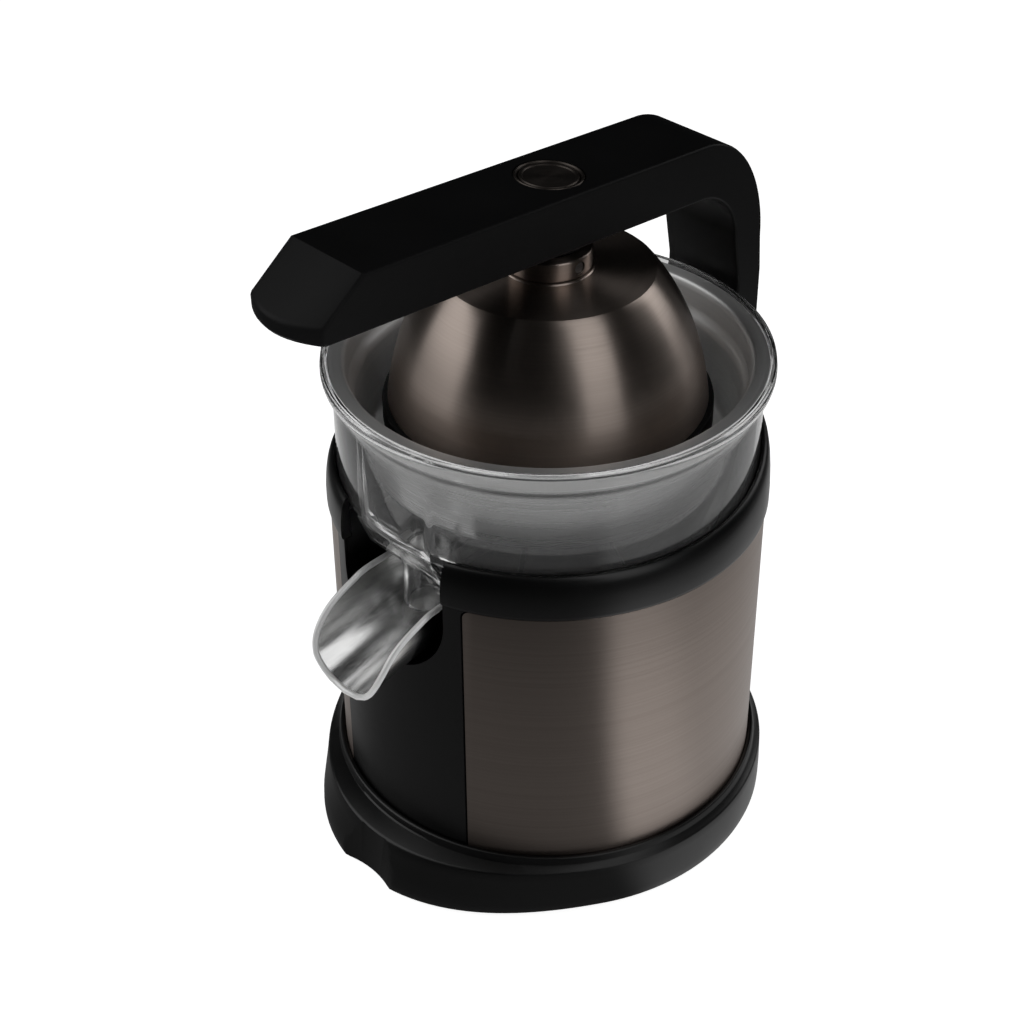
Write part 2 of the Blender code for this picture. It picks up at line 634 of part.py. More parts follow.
def strainer(root):
    """Steel strainer basket: a flange on the bowl's rim, a stepped wall and a slotted floor."""
    rim = RIM_HEIGHT
    flange = BOWL_RADIUS + 1.1 * MM
    top = STRAINER_RADIUS + 4.9 * MM
    wall = STRAINER_RADIUS
    floor = DOME_LIP - 9.6 * MM
    lip = HUB_RADIUS + 1.2 * MM
    face = [
        (flange, rim + 3.9 * MM), (top, rim + 3.9 * MM), (top - 0.9 * MM, rim + 2.6 * MM),
        (top - 1.6 * MM, rim - 5 * MM), (wall + 1 * MM, rim - 8.8 * MM), (wall - 0.8 * MM, floor + 2.6 * MM),
        (wall - 4 * MM, floor), (lip + 10 * MM, floor - 0.8 * MM), (lip + 1.8 * MM, floor + 1.5 * MM),
        (lip, floor + 4.5 * MM),
    ]
    basket = turned("strainer", face + offset_outline(face, STEEL_SHEET)[::-1], "steel", root)
    bm = bmesh.new()
    for number in range(STRAINER_SLOTS):
        slot = bmesh.ops.create_cube(bm, size=1.0)["verts"]
        inner, outer = lip + 13 * MM, wall - 9 * MM
        bmesh.ops.scale(bm, verts=slot, vec=(2.2 * MM, outer - inner, 8 * MM))
        bmesh.ops.translate(bm, verts=slot, vec=(0, (inner + outer) / 2, floor))
        bmesh.ops.rotate(bm, verts=slot, matrix=Matrix.Rotation(math.tau * number / STRAINER_SLOTS, 3, "Z"))
    mesh = bpy.data.meshes.new("slots")
    bm.to_mesh(mesh)
    bm.free()
    combine(basket, add_object("slots", mesh, parent=root, hidden=True))


def offset_outline(points, distance):
    """The same open outline moved sideways, to the left of its direction of travel."""
    moved = []
    for i, point in enumerate(points):
        ways = []
        if i:
            ways.append(Vector((point[0] - points[i - 1][0], point[1] - points[i - 1][1])).normalized())
        if i < len(points) - 1:
            ways.append(Vector((points[i + 1][0] - point[0], points[i + 1][1] - point[1])).normalized())
        normals = [Vector((-way.y, way.x)) for way in ways]
        normal = sum(normals, Vector((0, 0))).normalized()
        reach = distance / max(0.5, normal.dot(normals[0]))
        moved.append((point[0] + normal.x * reach, point[1] + normal.y * reach))
    return moved


def reamer_cone(drive):
    """The ribbed cone that turns in the half fruit, hollow over the bowl's hub."""
    base = CONE_BASE
    tip = base + CONE_HEIGHT + 3 * MM
    bore = SHAFT_RADIUS + GAP
    cavity = HUB_RADIUS + 3.4 * MM
    side = []
    for i in range(7):
        share = i / 6
        side.append((CONE_RADIUS * math.cos(share * 1.5) ** 0.75,
                     base + 3 * MM + share * CONE_HEIGHT * 0.985))
    outline = [(0, tip)] + side[::-1] + [
        (CONE_RADIUS + 1.5 * MM, base + 1.6 * MM), (CONE_RADIUS + 1.5 * MM, base), (cavity, base),
        (cavity, base + 11.5 * MM), (bore, base + 11.5 * MM), (bore, base + 38 * MM),
        (0, base + 38 * MM),
    ]
    cone = turned("reamer_cone", outline, "satin_black", drive)
    mesh = bake_modifiers(cone)
    for vertex in mesh.vertices:
        radius = math.hypot(vertex.co.x, vertex.co.y)
        height = vertex.co.z - base - 3 * MM
        if height > 1 * MM and radius > SHAFT_RADIUS + 2 * MM:
            turn = math.atan2(vertex.co.y, vertex.co.x)
            depth = 2.2 * MM * min(1.0, height / (6 * MM)) * (0.5 - 0.5 * math.cos(8 * turn))
            vertex.co.x *= (radius - depth) / radius
            vertex.co.y *= (radius - depth) / radius


# ---- drive --------------------------------------------------------------------------
OUTPUT_TEETH, IDLER_SMALL, IDLER_BIG, PINION_TEETH = 42, 14, 36, 12
IDLER_Y = GEAR_MODULE * (OUTPUT_TEETH + IDLER_SMALL) / 2 + 0.2 * MM
MOTOR_X = GEAR_MODULE * (IDLER_BIG + PINION_TEETH) / 2 + 0.2 * MM
LOW_GEARS = (GEAR_PLATE_Z + 5 * MM, GEAR_PLATE_Z + 12 * MM)
HIGH_GEARS = (GEAR_PLATE_Z + 13 * MM, GEAR_PLATE_Z + 20 * MM)


def gear(name, teeth, bore, span, parent, location, phase=0.0, mat="nylon", hidden=False):
    """A spur gear with straight-flanked teeth, thinned for backlash."""
    pitch = GEAR_MODULE * teeth / 2
    root_r = pitch - 1.25 * GEAR_MODULE
    tip_r = pitch + 0.85 * GEAR_MODULE
    step = math.tau / teeth
    outline = []
    for tooth in range(teeth):
        middle = phase + tooth * step
        for share, radius in ((-0.32, root_r), (-0.125, tip_r), (0.125, tip_r), (0.32, root_r)):
            angle = middle + share * step
            outline.append((radius * math.cos(angle), radius * math.sin(angle)))
    wheel = extruded(name, outline, span[0], span[1], "Z", mat, parent, hidden, location=location,
                     smooth=False)
    if bore:
        hole = rod(f"{name}_bore", bore, span[0] - 5 * MM, span[1] + 5 * MM, "Z", (location[0], location[1]),
                   parent=parent, hidden=True)
        combine(wheel, hole)
    return wheel


def output_gear(root):
    wheel = gear("output_gear", OUTPUT_TEETH, 0, HIGH_GEARS, root, (0, 0, 0))
    hub = ring("output_hub", 0, 9 * MM, HIGH_GEARS[0], HIGH_GEARS[1] + 2 * MM, parent=root, steps=24,
               hidden=True)
    combine(wheel, hub, "UNION")
    bore = rod("output_bore", SHAFT_RADIUS + RUN, 0, 200 * MM, "Z", (0, 0), parent=root, hidden=True)
    combine(wheel, bore)


def idler_gear(root):
    place = (0, IDLER_Y, 0)
    big = gear("idler_gear", IDLER_BIG, 0, LOW_GEARS, root, place, phase=0.0)
    half_tooth = math.pi / IDLER_SMALL
    # a gap of the small gear faces the output gear's tooth on the line of centres
    small = gear(
        "idler_small", IDLER_SMALL, 0, (LOW_GEARS[1] - 1 * MM, HIGH_GEARS[1]), root, place,
        phase=-math.pi / 2 + half_tooth + OUTPUT_MESH, hidden=True,
    )
    combine(big, small, "UNION")
    bore = rod("idler_bore", 3 * MM + RUN, 0, 200 * MM, "Z", (0, IDLER_Y), parent=root, hidden=True)
    combine(big, bore)
    seat = GEAR_PLATE_Z + 3 * MM + GAP
    axle = [
        (0, GEAR_PLATE_Z), (3 * MM, GEAR_PLATE_Z), (3 * MM, seat), (4.6 * MM, seat),
        (4.6 * MM, seat + 1.2 * MM),
        (3 * MM, seat + 1.2 * MM), (3 * MM, HIGH_GEARS[1] + 4 * MM), (0, HIGH_GEARS[1] + 4 * MM),
    ]
    turned("idler_axle", axle, "steel", root, place, steps=24)


# the output gear's tooth nearest to the idler lies this far from the line of centres
OUTPUT_STEP = math.tau / OUTPUT_TEETH
NEAREST_TOOTH = round((math.pi / 2) / OUTPUT_STEP)
OUTPUT_MESH = (math.pi / 2 - NEAREST_TOOTH * OUTPUT_STEP) * OUTPUT_TEETH / IDLER_SMALL


def motor_group(root):
    top = GEAR_PLATE_Z - GAP
    place = (MOTOR_X, IDLER_Y, 0)
    can = [
        (3 * MM + GAP, top), (9 * MM, top), (9 * MM, top - 3 * MM), (MOTOR_RADIUS - 1.5 * MM, top - 3 * MM),
        (MOTOR_RADIUS, top - 4.5 * MM), (MOTOR_RADIUS, 36 * MM), (MOTOR_RADIUS - 2 * MM, 34 * MM),
        (8 * MM, 34 * MM), (8 * MM, 30 * MM), (0, 30 * MM), (0, top - 12 * MM), (3 * MM + GAP, top - 12 * MM),
    ]
    turned("motor", can, "steel", root, place, steps=24)
    ring("motor_shaft", 0, 2.5 * MM, top - 11 * MM, LOW_GEARS[1] + 2 * MM, "steel", root, place, 20)
    # a gap of the pinion faces the idler's tooth that points at it
    gear("motor_pinion", PINION_TEETH, 2.5 * MM + GAP, LOW_GEARS, root, place,
         phase=math.pi + math.pi / PINION_TEETH, mat="brass")


def gear_plate(root):
    radius = HOUSING_RADIUS - HOUSING_WALL - GAP
    plate = ring("gear_plate", 0, radius, GEAR_PLATE_Z, GEAR_PLATE_Z + 3 * MM, "matte_black", root)
    for name, hole, place in (
        ("plate_shaft_hole", 6 * MM, (0, 0)),
        ("plate_axle_hole", 3 * MM + GAP, (0, IDLER_Y)),
        ("plate_motor_hole", 5 * MM, (MOTOR_X, IDLER_Y)),
    ):
        combine(plate, rod(name, hole, GEAR_PLATE_Z - 9 * MM, GEAR_PLATE_Z + 9 * MM, "Z", place, parent=root,
                           hidden=True))
    for number, angle in enumerate((90, 210, 330), 1):
        turn = math.radians(angle)
        circle = radius - 3 * MM
        x, y = circle * math.cos(turn), circle * math.sin(turn)
        combine(plate, rod("tab_hole", 1.8 * MM, GEAR_PLATE_Z - 9 * MM, GEAR_PLATE_Z + 9 * MM, "Z", (x, y),
                           parent=root, hidden=True, steps=16))
        screw(f"gear_plate_screw_{number}", root, (x, y), GEAR_PLATE_Z + 3 * MM + GAP, 2.9 * MM, up=False)


def drive_shaft(drive):
    bottom = GEAR_PLATE_Z - 4 * MM
    top = CONE_BASE + 36 * MM
    collar = HIGH_GEARS[1] + 12 * MM
    outline = [
        (0, top), (SHAFT_RADIUS, top), (SHAFT_RADIUS, collar + 2 * MM), (7 * MM, collar + 2 * MM),
        (7 * MM, collar), (SHAFT_RADIUS, collar), (SHAFT_RADIUS, bottom), (0, bottom),
    ]
    turned("drive_shaft", outline, "steel", drive, steps=24)
    coil("shaft_spring", 6.0 * MM, 0.55 * MM, HIGH_GEARS[1] + 2 * MM + GAP, collar - GAP, 4, drive)


def coil(name, radius, wire, bottom, top, turns, parent, location=(0, 0, 0)):
    """A compression spring: a helix of round wire with closed ends inside the given height."""
    curve = bpy.data.curves.new(name, "CURVE")
    curve.dimensions = "3D"
    curve.bevel_depth = wire
    curve.bevel_resolution = 1
    curve.use_fill_caps = True
    spline = curve.splines.new("POLY")
    count = turns * 9
    spline.points.add(count)
    for i in range(count + 1):
        angle = math.tau * i / 9
        share = i / count
        height = bottom + wire + (top - bottom - 2 * wire) * share
        spline.points[i].co = (radius * math.cos(angle), radius * math.sin(angle), height, 1)
    obj = bpy.data.objects.new(name, curve)
    PARTS.objects.link(obj)
    curve.materials.append(MATERIALS["steel"])
    obj.parent = parent
    obj.location = location
    return obj


def shaft_fittings(root):
    """The bush pressed in the deck, its rubber seal, and the switch that the shaft presses."""
    fit = SHAFT_RADIUS + RUN
    under = DECK_TOP - 3 * MM - GAP
    bush = [
        (fit, DECK_TOP - 4.4 * MM), (SHAFT_RADIUS + 6.6 * MM, DECK_TOP - 4.4 * MM),
        (SHAFT_RADIUS + 6.6 * MM, under),
        (SHAFT_RADIUS + 5 * MM, under), (SHAFT_RADIUS + 5 * MM, DECK_TOP), (SHAFT_RADIUS + 3 * MM, DECK_TOP),
        (SHAFT_RADIUS + 3 * MM, DECK_TOP + 2 * MM), (fit, DECK_TOP + 2 * MM),
    ]
    turned("shaft_bush", bush, "brass", root, steps=24)
    seal_low = DECK_TOP + 2 * MM + GAP
    seal = [
        (fit, seal_low), (SHAFT_RADIUS + 3.6 * MM, seal_low),
        (SHAFT_RADIUS + 3.6 * MM, seal_low + 3 * MM), (SHAFT_RADIUS + 1.4 * MM, seal_low + 5 * MM),
        (fit, seal_low + 5 * MM),
    ]
    turned("shaft_seal", seal, "rubber", root, steps=24)
    top = GEAR_PLATE_Z - 4 * MM - CONE_TRAVEL - GAP
    body = block("start_switch", (-10 * MM, -3.2 * MM, top - 11 * MM), (10 * MM, 3.2 * MM, top - 1.5 * MM),
                 "matte_black", root)
    combine(body, rod("switch_plunger", 1.6 * MM, top - 5 * MM, top, "Z", (0, 0), parent=root, hidden=True,
                      steps=16), "UNION")
    extruded(
        "switch_bracket",
        [(-3.5 * MM, top - 13.3 * MM), (-13 * MM, top - 13.3 * MM), (-13 * MM, GEAR_PLATE_Z - GAP),
         (-22 * MM, GEAR_PLATE_Z - GAP), (-22 * MM, GEAR_PLATE_Z - 1.8 * MM),
         (-14.6 * MM, GEAR_PLATE_Z - 1.8 * MM),
         (-14.6 * MM, top - 15 * MM), (6 * MM, top - 15 * MM), (6 * MM, top - 11.3 * MM),
         (-3.5 * MM, top - 11.3 * MM)],
        -8 * MM, 8 * MM, "X", "steel", root,
    )


# ---- dome ---------------------------------------------------------------------------
def dome_curve(radius, top, edge_radius, bottom, count):
    """Points down the dome's flank: part of an ellipse from its top edge to its lower edge."""
    full = radius
    lowest = DOME_LIP
    tall = (top - lowest) / math.sqrt(1 - (edge_radius / full) ** 2)
    points = []
    for i in range(count + 1):
        z = top + (bottom - top) * i / count
        points.append((full * math.sqrt(max(0.0, 1 - ((z - lowest) / tall) ** 2)), z))
    return points


DOME_SHOULDER = 37.8 * MM
NECK_RADIUS = 15.2 * MM
POST_RADIUS = 8 * MM


def dome_group(tilt):
    """Pieces that hang from the tilt pin; heights here are measured from that pin."""

    def at_pin(outline):
        return [(r, z - TILT_Z) for r, z in outline]

    share = DOME_SHOULDER
    wall = 1.2 * MM
    outer = dome_curve(DOME_RADIUS - 0.6 * MM, DOME_TOP - 1 * MM, share, DOME_EDGE, 5)
    inner = dome_curve(DOME_RADIUS - 0.6 * MM - wall, DOME_TOP - 1 * MM - wall, share - wall, DOME_EDGE, 5)
    neck_in = POST_RADIUS + 2.2 * MM
    shell = [(neck_in, DOME_TOP + 1 * MM), (share - 1 * MM, DOME_TOP - 0.3 * MM)] + outer
    shell += inner[::-1] + [(neck_in, DOME_TOP + 1 * MM - wall)]
    turned("press_dome", at_pin(shell), "bronze_steel", tilt)

    cup_out = dome_curve(DOME_RADIUS - 0.6 * MM - wall - GAP, DOME_TOP - 1 * MM - wall - GAP,
                         share - wall - GAP,
                         DOME_EDGE - GAP, 5)
    cup_in = dome_curve(DOME_RADIUS - 4.4 * MM, DOME_TOP - 6 * MM, 26 * MM, DOME_LIP, 5)
    lip_top = DOME_EDGE - GAP
    cup = [(0, DOME_TOP - wall - 1.6 * MM), (share - 4 * MM, DOME_TOP - wall - 2.2 * MM)] + cup_out[1:]
    cup += [(DOME_RADIUS - 0.3 * MM, lip_top), (DOME_RADIUS, lip_top - 1.4 * MM),
            (DOME_RADIUS, DOME_LIP + 4 * MM),
            (DOME_RADIUS - 1.6 * MM, DOME_LIP + 0.6 * MM), (DOME_RADIUS - 3 * MM, DOME_LIP)]
    cup += cup_in[::-1] + [(0, DOME_TOP - 5.2 * MM)]
    turned("press_cup", at_pin(cup), "satin_black", tilt)

    neck = [
        (neck_in, NECK_TOP), (NECK_RADIUS - 0.8 * MM, NECK_TOP), (NECK_RADIUS, NECK_TOP - 0.8 * MM),
        (NECK_RADIUS, DOME_TOP + 1 * MM + GAP), (neck_in, DOME_TOP + 1 * MM + GAP),
    ]
    collar = turned("neck_ring", at_pin(neck), "bronze_steel", tilt, steps=36)
    hole = rod("neck_pin_hole", 2 * MM + GAP, -30 * MM, 30 * MM, "X", (0, 0), parent=tilt, hidden=True,
               steps=20)
    combine(collar, hole)


def tilt_hanger(arm):
    """The post inside the arm that carries the dome's cross pin, and the pin itself."""
    top = RIM_HEIGHT + ARM_CLEAR + 9 * MM
    outline = [
        (0, RIM_HEIGHT + ARM_CLEAR - 1 * MM), (4.2 * MM, RIM_HEIGHT + ARM_CLEAR - 1 * MM), (4.2 * MM, top),
        (POST_RADIUS, top), (POST_RADIUS, TILT_Z - 3.6 * MM), (0, TILT_Z - 3.6 * MM),
    ]
    post = turned("dome_post", outline, "matte_black", arm, steps=24)
    combine(post, rod("post_pin_hole", 2 * MM + GAP, -30 * MM, 30 * MM, "X", (0, TILT_Z), parent=arm,
                      hidden=True,
                      steps=20))
    rod("tilt_pin", 2 * MM, -NECK_RADIUS + 0.6 * MM, NECK_RADIUS - 0.6 * MM, "X", (0, TILT_Z), "steel", arm,
        steps=20)


# ---- lever arm ----------------------------------------------------------------------
def arm_under(y):
    return RIM_HEIGHT + ARM_CLEAR - math.tan(ARM_PITCH) * y


def arm_over(y):
    return arm_under(y) + ARM_DEPTH


def arm_outline():
    """Side view of the arm as (y, z) points, from the nose over the top and down the leg."""
    front = HINGE_Y - LEG_HALF
    back = HINGE_Y + LEG_HALF
    lip = NOSE_Y
    corner = NOSE_Y + 23 * MM
    bend = HINGE_Y - 29 * MM
    points = [
        (lip + 3 * MM, arm_under(lip)), (lip, arm_under(lip) + 1.2 * MM), (lip, arm_under(lip) + 6.0 * MM),
        (lip + 1.2 * MM, arm_under(lip) + 7.0 * MM), (corner, arm_over(corner)), (bend, arm_over(bend)),
    ]
    radius_z = arm_over(bend) - (RIM_HEIGHT + 22 * MM)
    for i in range(1, 9):
        turn = math.pi / 2 * i / 8
        points.append((bend + (back - 1.2 * MM - bend) * math.sin(turn),
                       arm_over(bend) - radius_z * (1 - math.cos(turn))))
    points.append((back, RIM_HEIGHT + 8 * MM))
    points += arc((HINGE_Y, HINGE_Z), LEG_HALF, 0, -180, 8)
    points += [(front, RIM_HEIGHT + 6 * MM), (front - 3.4 * MM, RIM_HEIGHT + 25 * MM)]
    inner_y, inner_z = front - 3.4 * MM, RIM_HEIGHT + 25 * MM
    start = inner_y - 21 * MM
    for i in range(1, 7):
        turn = math.pi / 2 * i / 6
        points.append((inner_y - 21 * MM * (1 - math.cos(turn)),
                       inner_z + (arm_under(start) - inner_z) * math.sin(turn)))
    return points


def lever_arm(arm):
    """The arm and its leg, forked round the hinge tongue, with a pocket below for the works."""
    half = ARM_WIDTH / 2
    columns = 8
    outline = arm_outline()
    bm = bmesh.new()
    for column in range(columns + 1):
        x = -half + ARM_WIDTH * column / columns
        bow = 6 * MM * (x / half) ** 2
        for y, z in outline:
            forward = smooth_step((NOSE_Y + 20 * MM - y) / (15 * MM))
            bm.verts.new((x, y + bow * forward, z))
    bm.verts.ensure_lookup_table()
    count = len(outline)
    for column in range(columns):
        for i in range(count):
            after = (i + 1) % count
            low, high = column * count, (column + 1) * count
            bm.faces.new([bm.verts[k] for k in (low + i, low + after, high + after, high + i)])
    bm.faces.new([bm.verts[i] for i in range(count)])
    bm.faces.new([bm.verts[columns * count + i] for i in range(count)])
    lever = add_object("lever_arm", finish_mesh(bm, "lever_arm"), "satin_black", arm)
    soften(lever, 0.8 * MM, 1, 55)
    front, back = NOSE_Y + 30 * MM, HINGE_Y - 36 * MM
    roof = 3 * MM
    pocket_outline = [
        (front, arm_under(front) - 4 * MM), (front, arm_over(front) - roof), (back, arm_over(back) - roof),
        (back, arm_under(back) - 4 * MM),
    ]
    wide = half - 3 * MM
    combine(lever, extruded("arm_pocket", pocket_outline, -wide, wide, "X", parent=arm, hidden=True))
    fork = block(
        "fork_gap", (-TONGUE_HALF - GAP, HINGE_Y - 20 * MM, HINGE_Z - 20 * MM),
        (TONGUE_HALF + GAP, HINGE_Y + 20 * MM, RIM_HEIGHT + 2 * MM), parent=arm, hidden=True,
    )
    combine(lever, fork)
    combine(lever, rod("fork_pin_hole", 2.5 * MM + GAP, -half + 2.5 * MM, half - 2.5 * MM, "X",
                       (HINGE_Y, HINGE_Z),
                       parent=arm, hidden=True, steps=20))
    well = ring("button_well", 0, BUTTON_RADIUS + 2 * MM, -9 * MM, 9 * MM, parent=button_seat(arm),
                hidden=True,
                steps=40)
    combine(lever, well)
    lid_outline = [
        (front + GAP, arm_under(front)), (front + GAP, arm_under(front) + 2.5 * MM),
        (back - GAP, arm_under(back) + 2.5 * MM), (back - GAP, arm_under(back)),
    ]
    lid = extruded("arm_underside", lid_outline, -wide + GAP, wide - GAP, "X", "satin_black", arm)
    boss = ring("lid_boss", 0, 13 * MM, NECK_TOP + 2.0 * MM, RIM_HEIGHT + ARM_CLEAR + 1.5 * MM, parent=arm,
                steps=32, hidden=True)
    combine(lid, boss, "UNION")
    combine(lid, rod("lid_hole", POST_RADIUS + GAP, TILT_Z - 9 * MM, RIM_HEIGHT + 90 * MM, "Z", (0, 0),
                     parent=arm,
                     hidden=True))


def button_seat(arm):
    """An empty on the arm's top face over the press axis, square to that face."""
    found = [o for o in arm.children if o.name.startswith("button_seat")]
    if found:
        return found[0]
    return empty("button_seat", arm, (0, 0, arm_over(0)), pitch=-ARM_PITCH)


def release_button(arm):
    """The button that frees the dome, its trim ring and its spring; heights from the arm's top."""
    seat = button_seat(arm)
    trim_in = BUTTON_RADIUS + RUN
    trim_out = BUTTON_RADIUS + 2 * MM - GAP
    trim = [
        (trim_in, -0.4 * MM), (trim_in + 0.5 * MM, 0.1 * MM), (trim_out, -0.6 * MM), (trim_out, -5 * MM),
        (trim_in, -5 * MM),
    ]
    turned("button_trim", trim, "bronze_steel", seat, steps=32)
    stem = 3 * MM
    button = [
        (0, 0.2 * MM), (BUTTON_RADIUS - 0.8 * MM, 0.2 * MM), (BUTTON_RADIUS, -0.5 * MM),
        (BUTTON_RADIUS, -3 * MM), (stem, -3 * MM), (stem, -15.5 * MM), (0, -15.5 * MM),
    ]
    turned("release_button", button, "bronze_steel", seat, steps=32)
    coil("button_spring", 5.4 * MM, 0.5 * MM, -11 * MM, -3.3 * MM, 3, seat)


# ---- hinge --------------------------------------------------------------------------
def hinge_spine(root):
    """The column on the back of the housing whose tongue holds the hinge pin."""
    back = HINGE_Y + LEG_HALF
    deep = WRAP_RADIUS - 10 * MM
    shoulder = HINGE_Z - LEG_HALF - 3 * MM
    column = [
        (deep, shoulder), (back - 2 * MM, shoulder), (back, shoulder - 2 * MM), (back, COLLAR_BOTTOM - 26.5 * MM),
        (back - 3 * MM, COLLAR_BOTTOM - 46.5 * MM),
        (back - 9 * MM, COLLAR_BOTTOM - 64.5 * MM),
        (deep, COLLAR_BOTTOM - 70.5 * MM),
    ]
    half = ARM_WIDTH / 2
    spine = extruded("hinge_spine", column, -half, half, "X", "satin_black", root)
    front = WRAP_RADIUS + 1.1 * MM + GAP
    tongue = [
        (front + 0.1 * MM, shoulder - 6 * MM), (front + 0.1 * MM, HINGE_Z + 9 * MM),
        (HINGE_Y - 4.2 * MM, HINGE_Z + 11.6 * MM), (HINGE_Y + 4.2 * MM, HINGE_Z + 11.6 * MM),
        (back - 0.4 * MM, HINGE_Z + 9 * MM), (back - 0.4 * MM, shoulder - 6 * MM),
    ]
    combine(spine, extruded("tongue", tongue, -TONGUE_HALF, TONGUE_HALF, "X", parent=root, hidden=True),
            "UNION")
    clear = COLLAR_RADIUS + GAP
    hug = [
        (0, RIM_HEIGHT + 20 * MM), (clear, RIM_HEIGHT + 20 * MM), (clear, COLLAR_BOTTOM - GAP),
        (WRAP_RADIUS + GAP, COLLAR_BOTTOM - GAP), (WRAP_RADIUS + GAP, 20 * MM), (0, 20 * MM),
    ]
    combine(spine, turned("spine_hug", hug, parent=root, hidden=True, steps=96))
    combine(spine, rod("tongue_pin_hole", 2.5 * MM + GAP, -30 * MM, 30 * MM, "X", (HINGE_Y, HINGE_Z),
                       parent=root,
                       hidden=True, steps=20))
    rod("hinge_pin", 2.5 * MM, -half + 3 * MM, half - 3 * MM, "X", (HINGE_Y, HINGE_Z), "steel", root,
        steps=20)


def hang_arm(root, arm):
    """Hands the arm's pieces to an empty on the hinge axis, without moving them."""
    hinge = empty("arm_hinge", root, (0, HINGE_Y, HINGE_Z))
    for piece in list(arm.children):
        piece.parent = hinge
        piece.location = piece.location - hinge.location
    bpy.data.objects.remove(arm)


def build():
    clear_scene()
    make_materials()
    axis = empty("press_axis", location=(0, AXIS_Y, 0))
    base_ring(axis)
    feet(axis)
    base_plate(axis)
    housing(axis)
    cord_gland(axis)
    steel_wrap(axis)
    top_frame(axis)
    spout_recess(axis)
    spout(axis)
    juice_bowl(axis)
    strainer(axis)
    reamer_cone(axis)
    gear_plate(axis)
    output_gear(axis)
    idler_gear(axis)
    motor_group(axis)
    drive_shaft(axis)
    shaft_fittings(axis)
    dome_group(empty("tilt_axis", axis, (0, 0, TILT_Z)))
    arm = empty("arm_frame", axis)
    tilt_hanger(arm)
    lever_arm(arm)
    release_button(arm)
    hang_arm(axis, arm)
    hinge_spine(axis)
    bpy.context.view_layer.update()


build()
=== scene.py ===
# %% [markdown]
# # A lever-arm citrus press, piece by piece
# The press is a motor housing wrapped in bronze-tinted steel, with a clear juice bowl on
# top, a steel strainer in it and a metal dome that a hinged arm swings down on the fruit.
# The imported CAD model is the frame: every piece below is placed from its boxes, takes the
# place of a CAD solid or gives one its finish, and rides on the body that moves it.

# %% Load the frame
import math

import bmesh
import bpy
from mathutils import Matrix, Vector


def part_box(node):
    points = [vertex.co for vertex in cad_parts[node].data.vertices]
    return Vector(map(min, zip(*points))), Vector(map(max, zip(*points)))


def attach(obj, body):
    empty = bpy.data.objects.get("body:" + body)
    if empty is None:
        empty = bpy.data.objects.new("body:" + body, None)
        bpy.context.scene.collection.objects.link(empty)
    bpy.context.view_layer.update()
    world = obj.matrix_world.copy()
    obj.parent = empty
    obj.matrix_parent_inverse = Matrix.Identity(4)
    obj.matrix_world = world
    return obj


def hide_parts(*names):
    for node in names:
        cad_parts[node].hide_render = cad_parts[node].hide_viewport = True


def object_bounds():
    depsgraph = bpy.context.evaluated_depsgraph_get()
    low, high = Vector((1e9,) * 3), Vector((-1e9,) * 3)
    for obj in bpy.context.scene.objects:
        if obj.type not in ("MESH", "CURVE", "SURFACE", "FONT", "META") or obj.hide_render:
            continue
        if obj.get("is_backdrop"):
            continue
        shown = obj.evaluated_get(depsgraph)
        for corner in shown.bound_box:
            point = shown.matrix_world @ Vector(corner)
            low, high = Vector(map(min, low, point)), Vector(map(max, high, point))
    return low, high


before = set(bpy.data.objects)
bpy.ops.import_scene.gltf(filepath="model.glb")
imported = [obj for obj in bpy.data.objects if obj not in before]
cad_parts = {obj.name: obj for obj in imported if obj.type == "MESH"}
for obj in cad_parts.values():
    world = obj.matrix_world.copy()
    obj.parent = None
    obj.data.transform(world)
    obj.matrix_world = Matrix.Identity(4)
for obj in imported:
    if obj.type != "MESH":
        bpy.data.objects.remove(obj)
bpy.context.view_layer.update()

# %% [markdown]
# ## Measures
# All lengths below are millimetres, because that is how the parts of an appliance are
# drawn. A few sizes are read from the CAD solids and everything else is an offset from
# them: the wrap's radius, the bowl's rim, the press axis and the pins.

# %% Read the main sizes from the CAD solids
def span(node):
    """Lowest and highest corner of a CAD solid, in millimetres."""
    low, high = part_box(node)
    return [v * 1000 for v in low], [v * 1000 for v in high]


def middle(node):
    low, high = span(node)
    return [(a + b) / 2 for a, b in zip(low, high)]


AXIS_Y = middle("press_cup")[1]
WRAP_R = span("steel_wrap")[1][0]
WRAP_LOW, WRAP_TOP = span("steel_wrap")[0][2], span("steel_wrap")[1][2]
COLLAR_LOW = WRAP_TOP + 0.3
COLLAR_TOP = COLLAR_LOW + 17
RIM = span("juice_bowl")[1][2] - 5.4
BOWL_R = WRAP_R - 3.4
DECK = span("housing")[1][2]
HINGE_Y = middle("hinge_pin")[1] - AXIS_Y
HINGE_Z = middle("hinge_pin")[2]
TILT_Z = middle("tilt_pin")[2]
NOSE_Y = span("lever_arm")[0][1] - AXIS_Y
ARM_HALF = span("lever_arm")[1][0]
print(f"axis y {AXIS_Y:.1f}, wrap radius {WRAP_R:.1f}, rim {RIM:.1f}, hinge {HINGE_Y:.1f} {HINGE_Z:.1f}")

# %% [markdown]
# ## Camera
# The view is from the front right and well above, with a long lens, as a catalogue view
# of a small appliance usually is. The camera turns a little past the press axis.

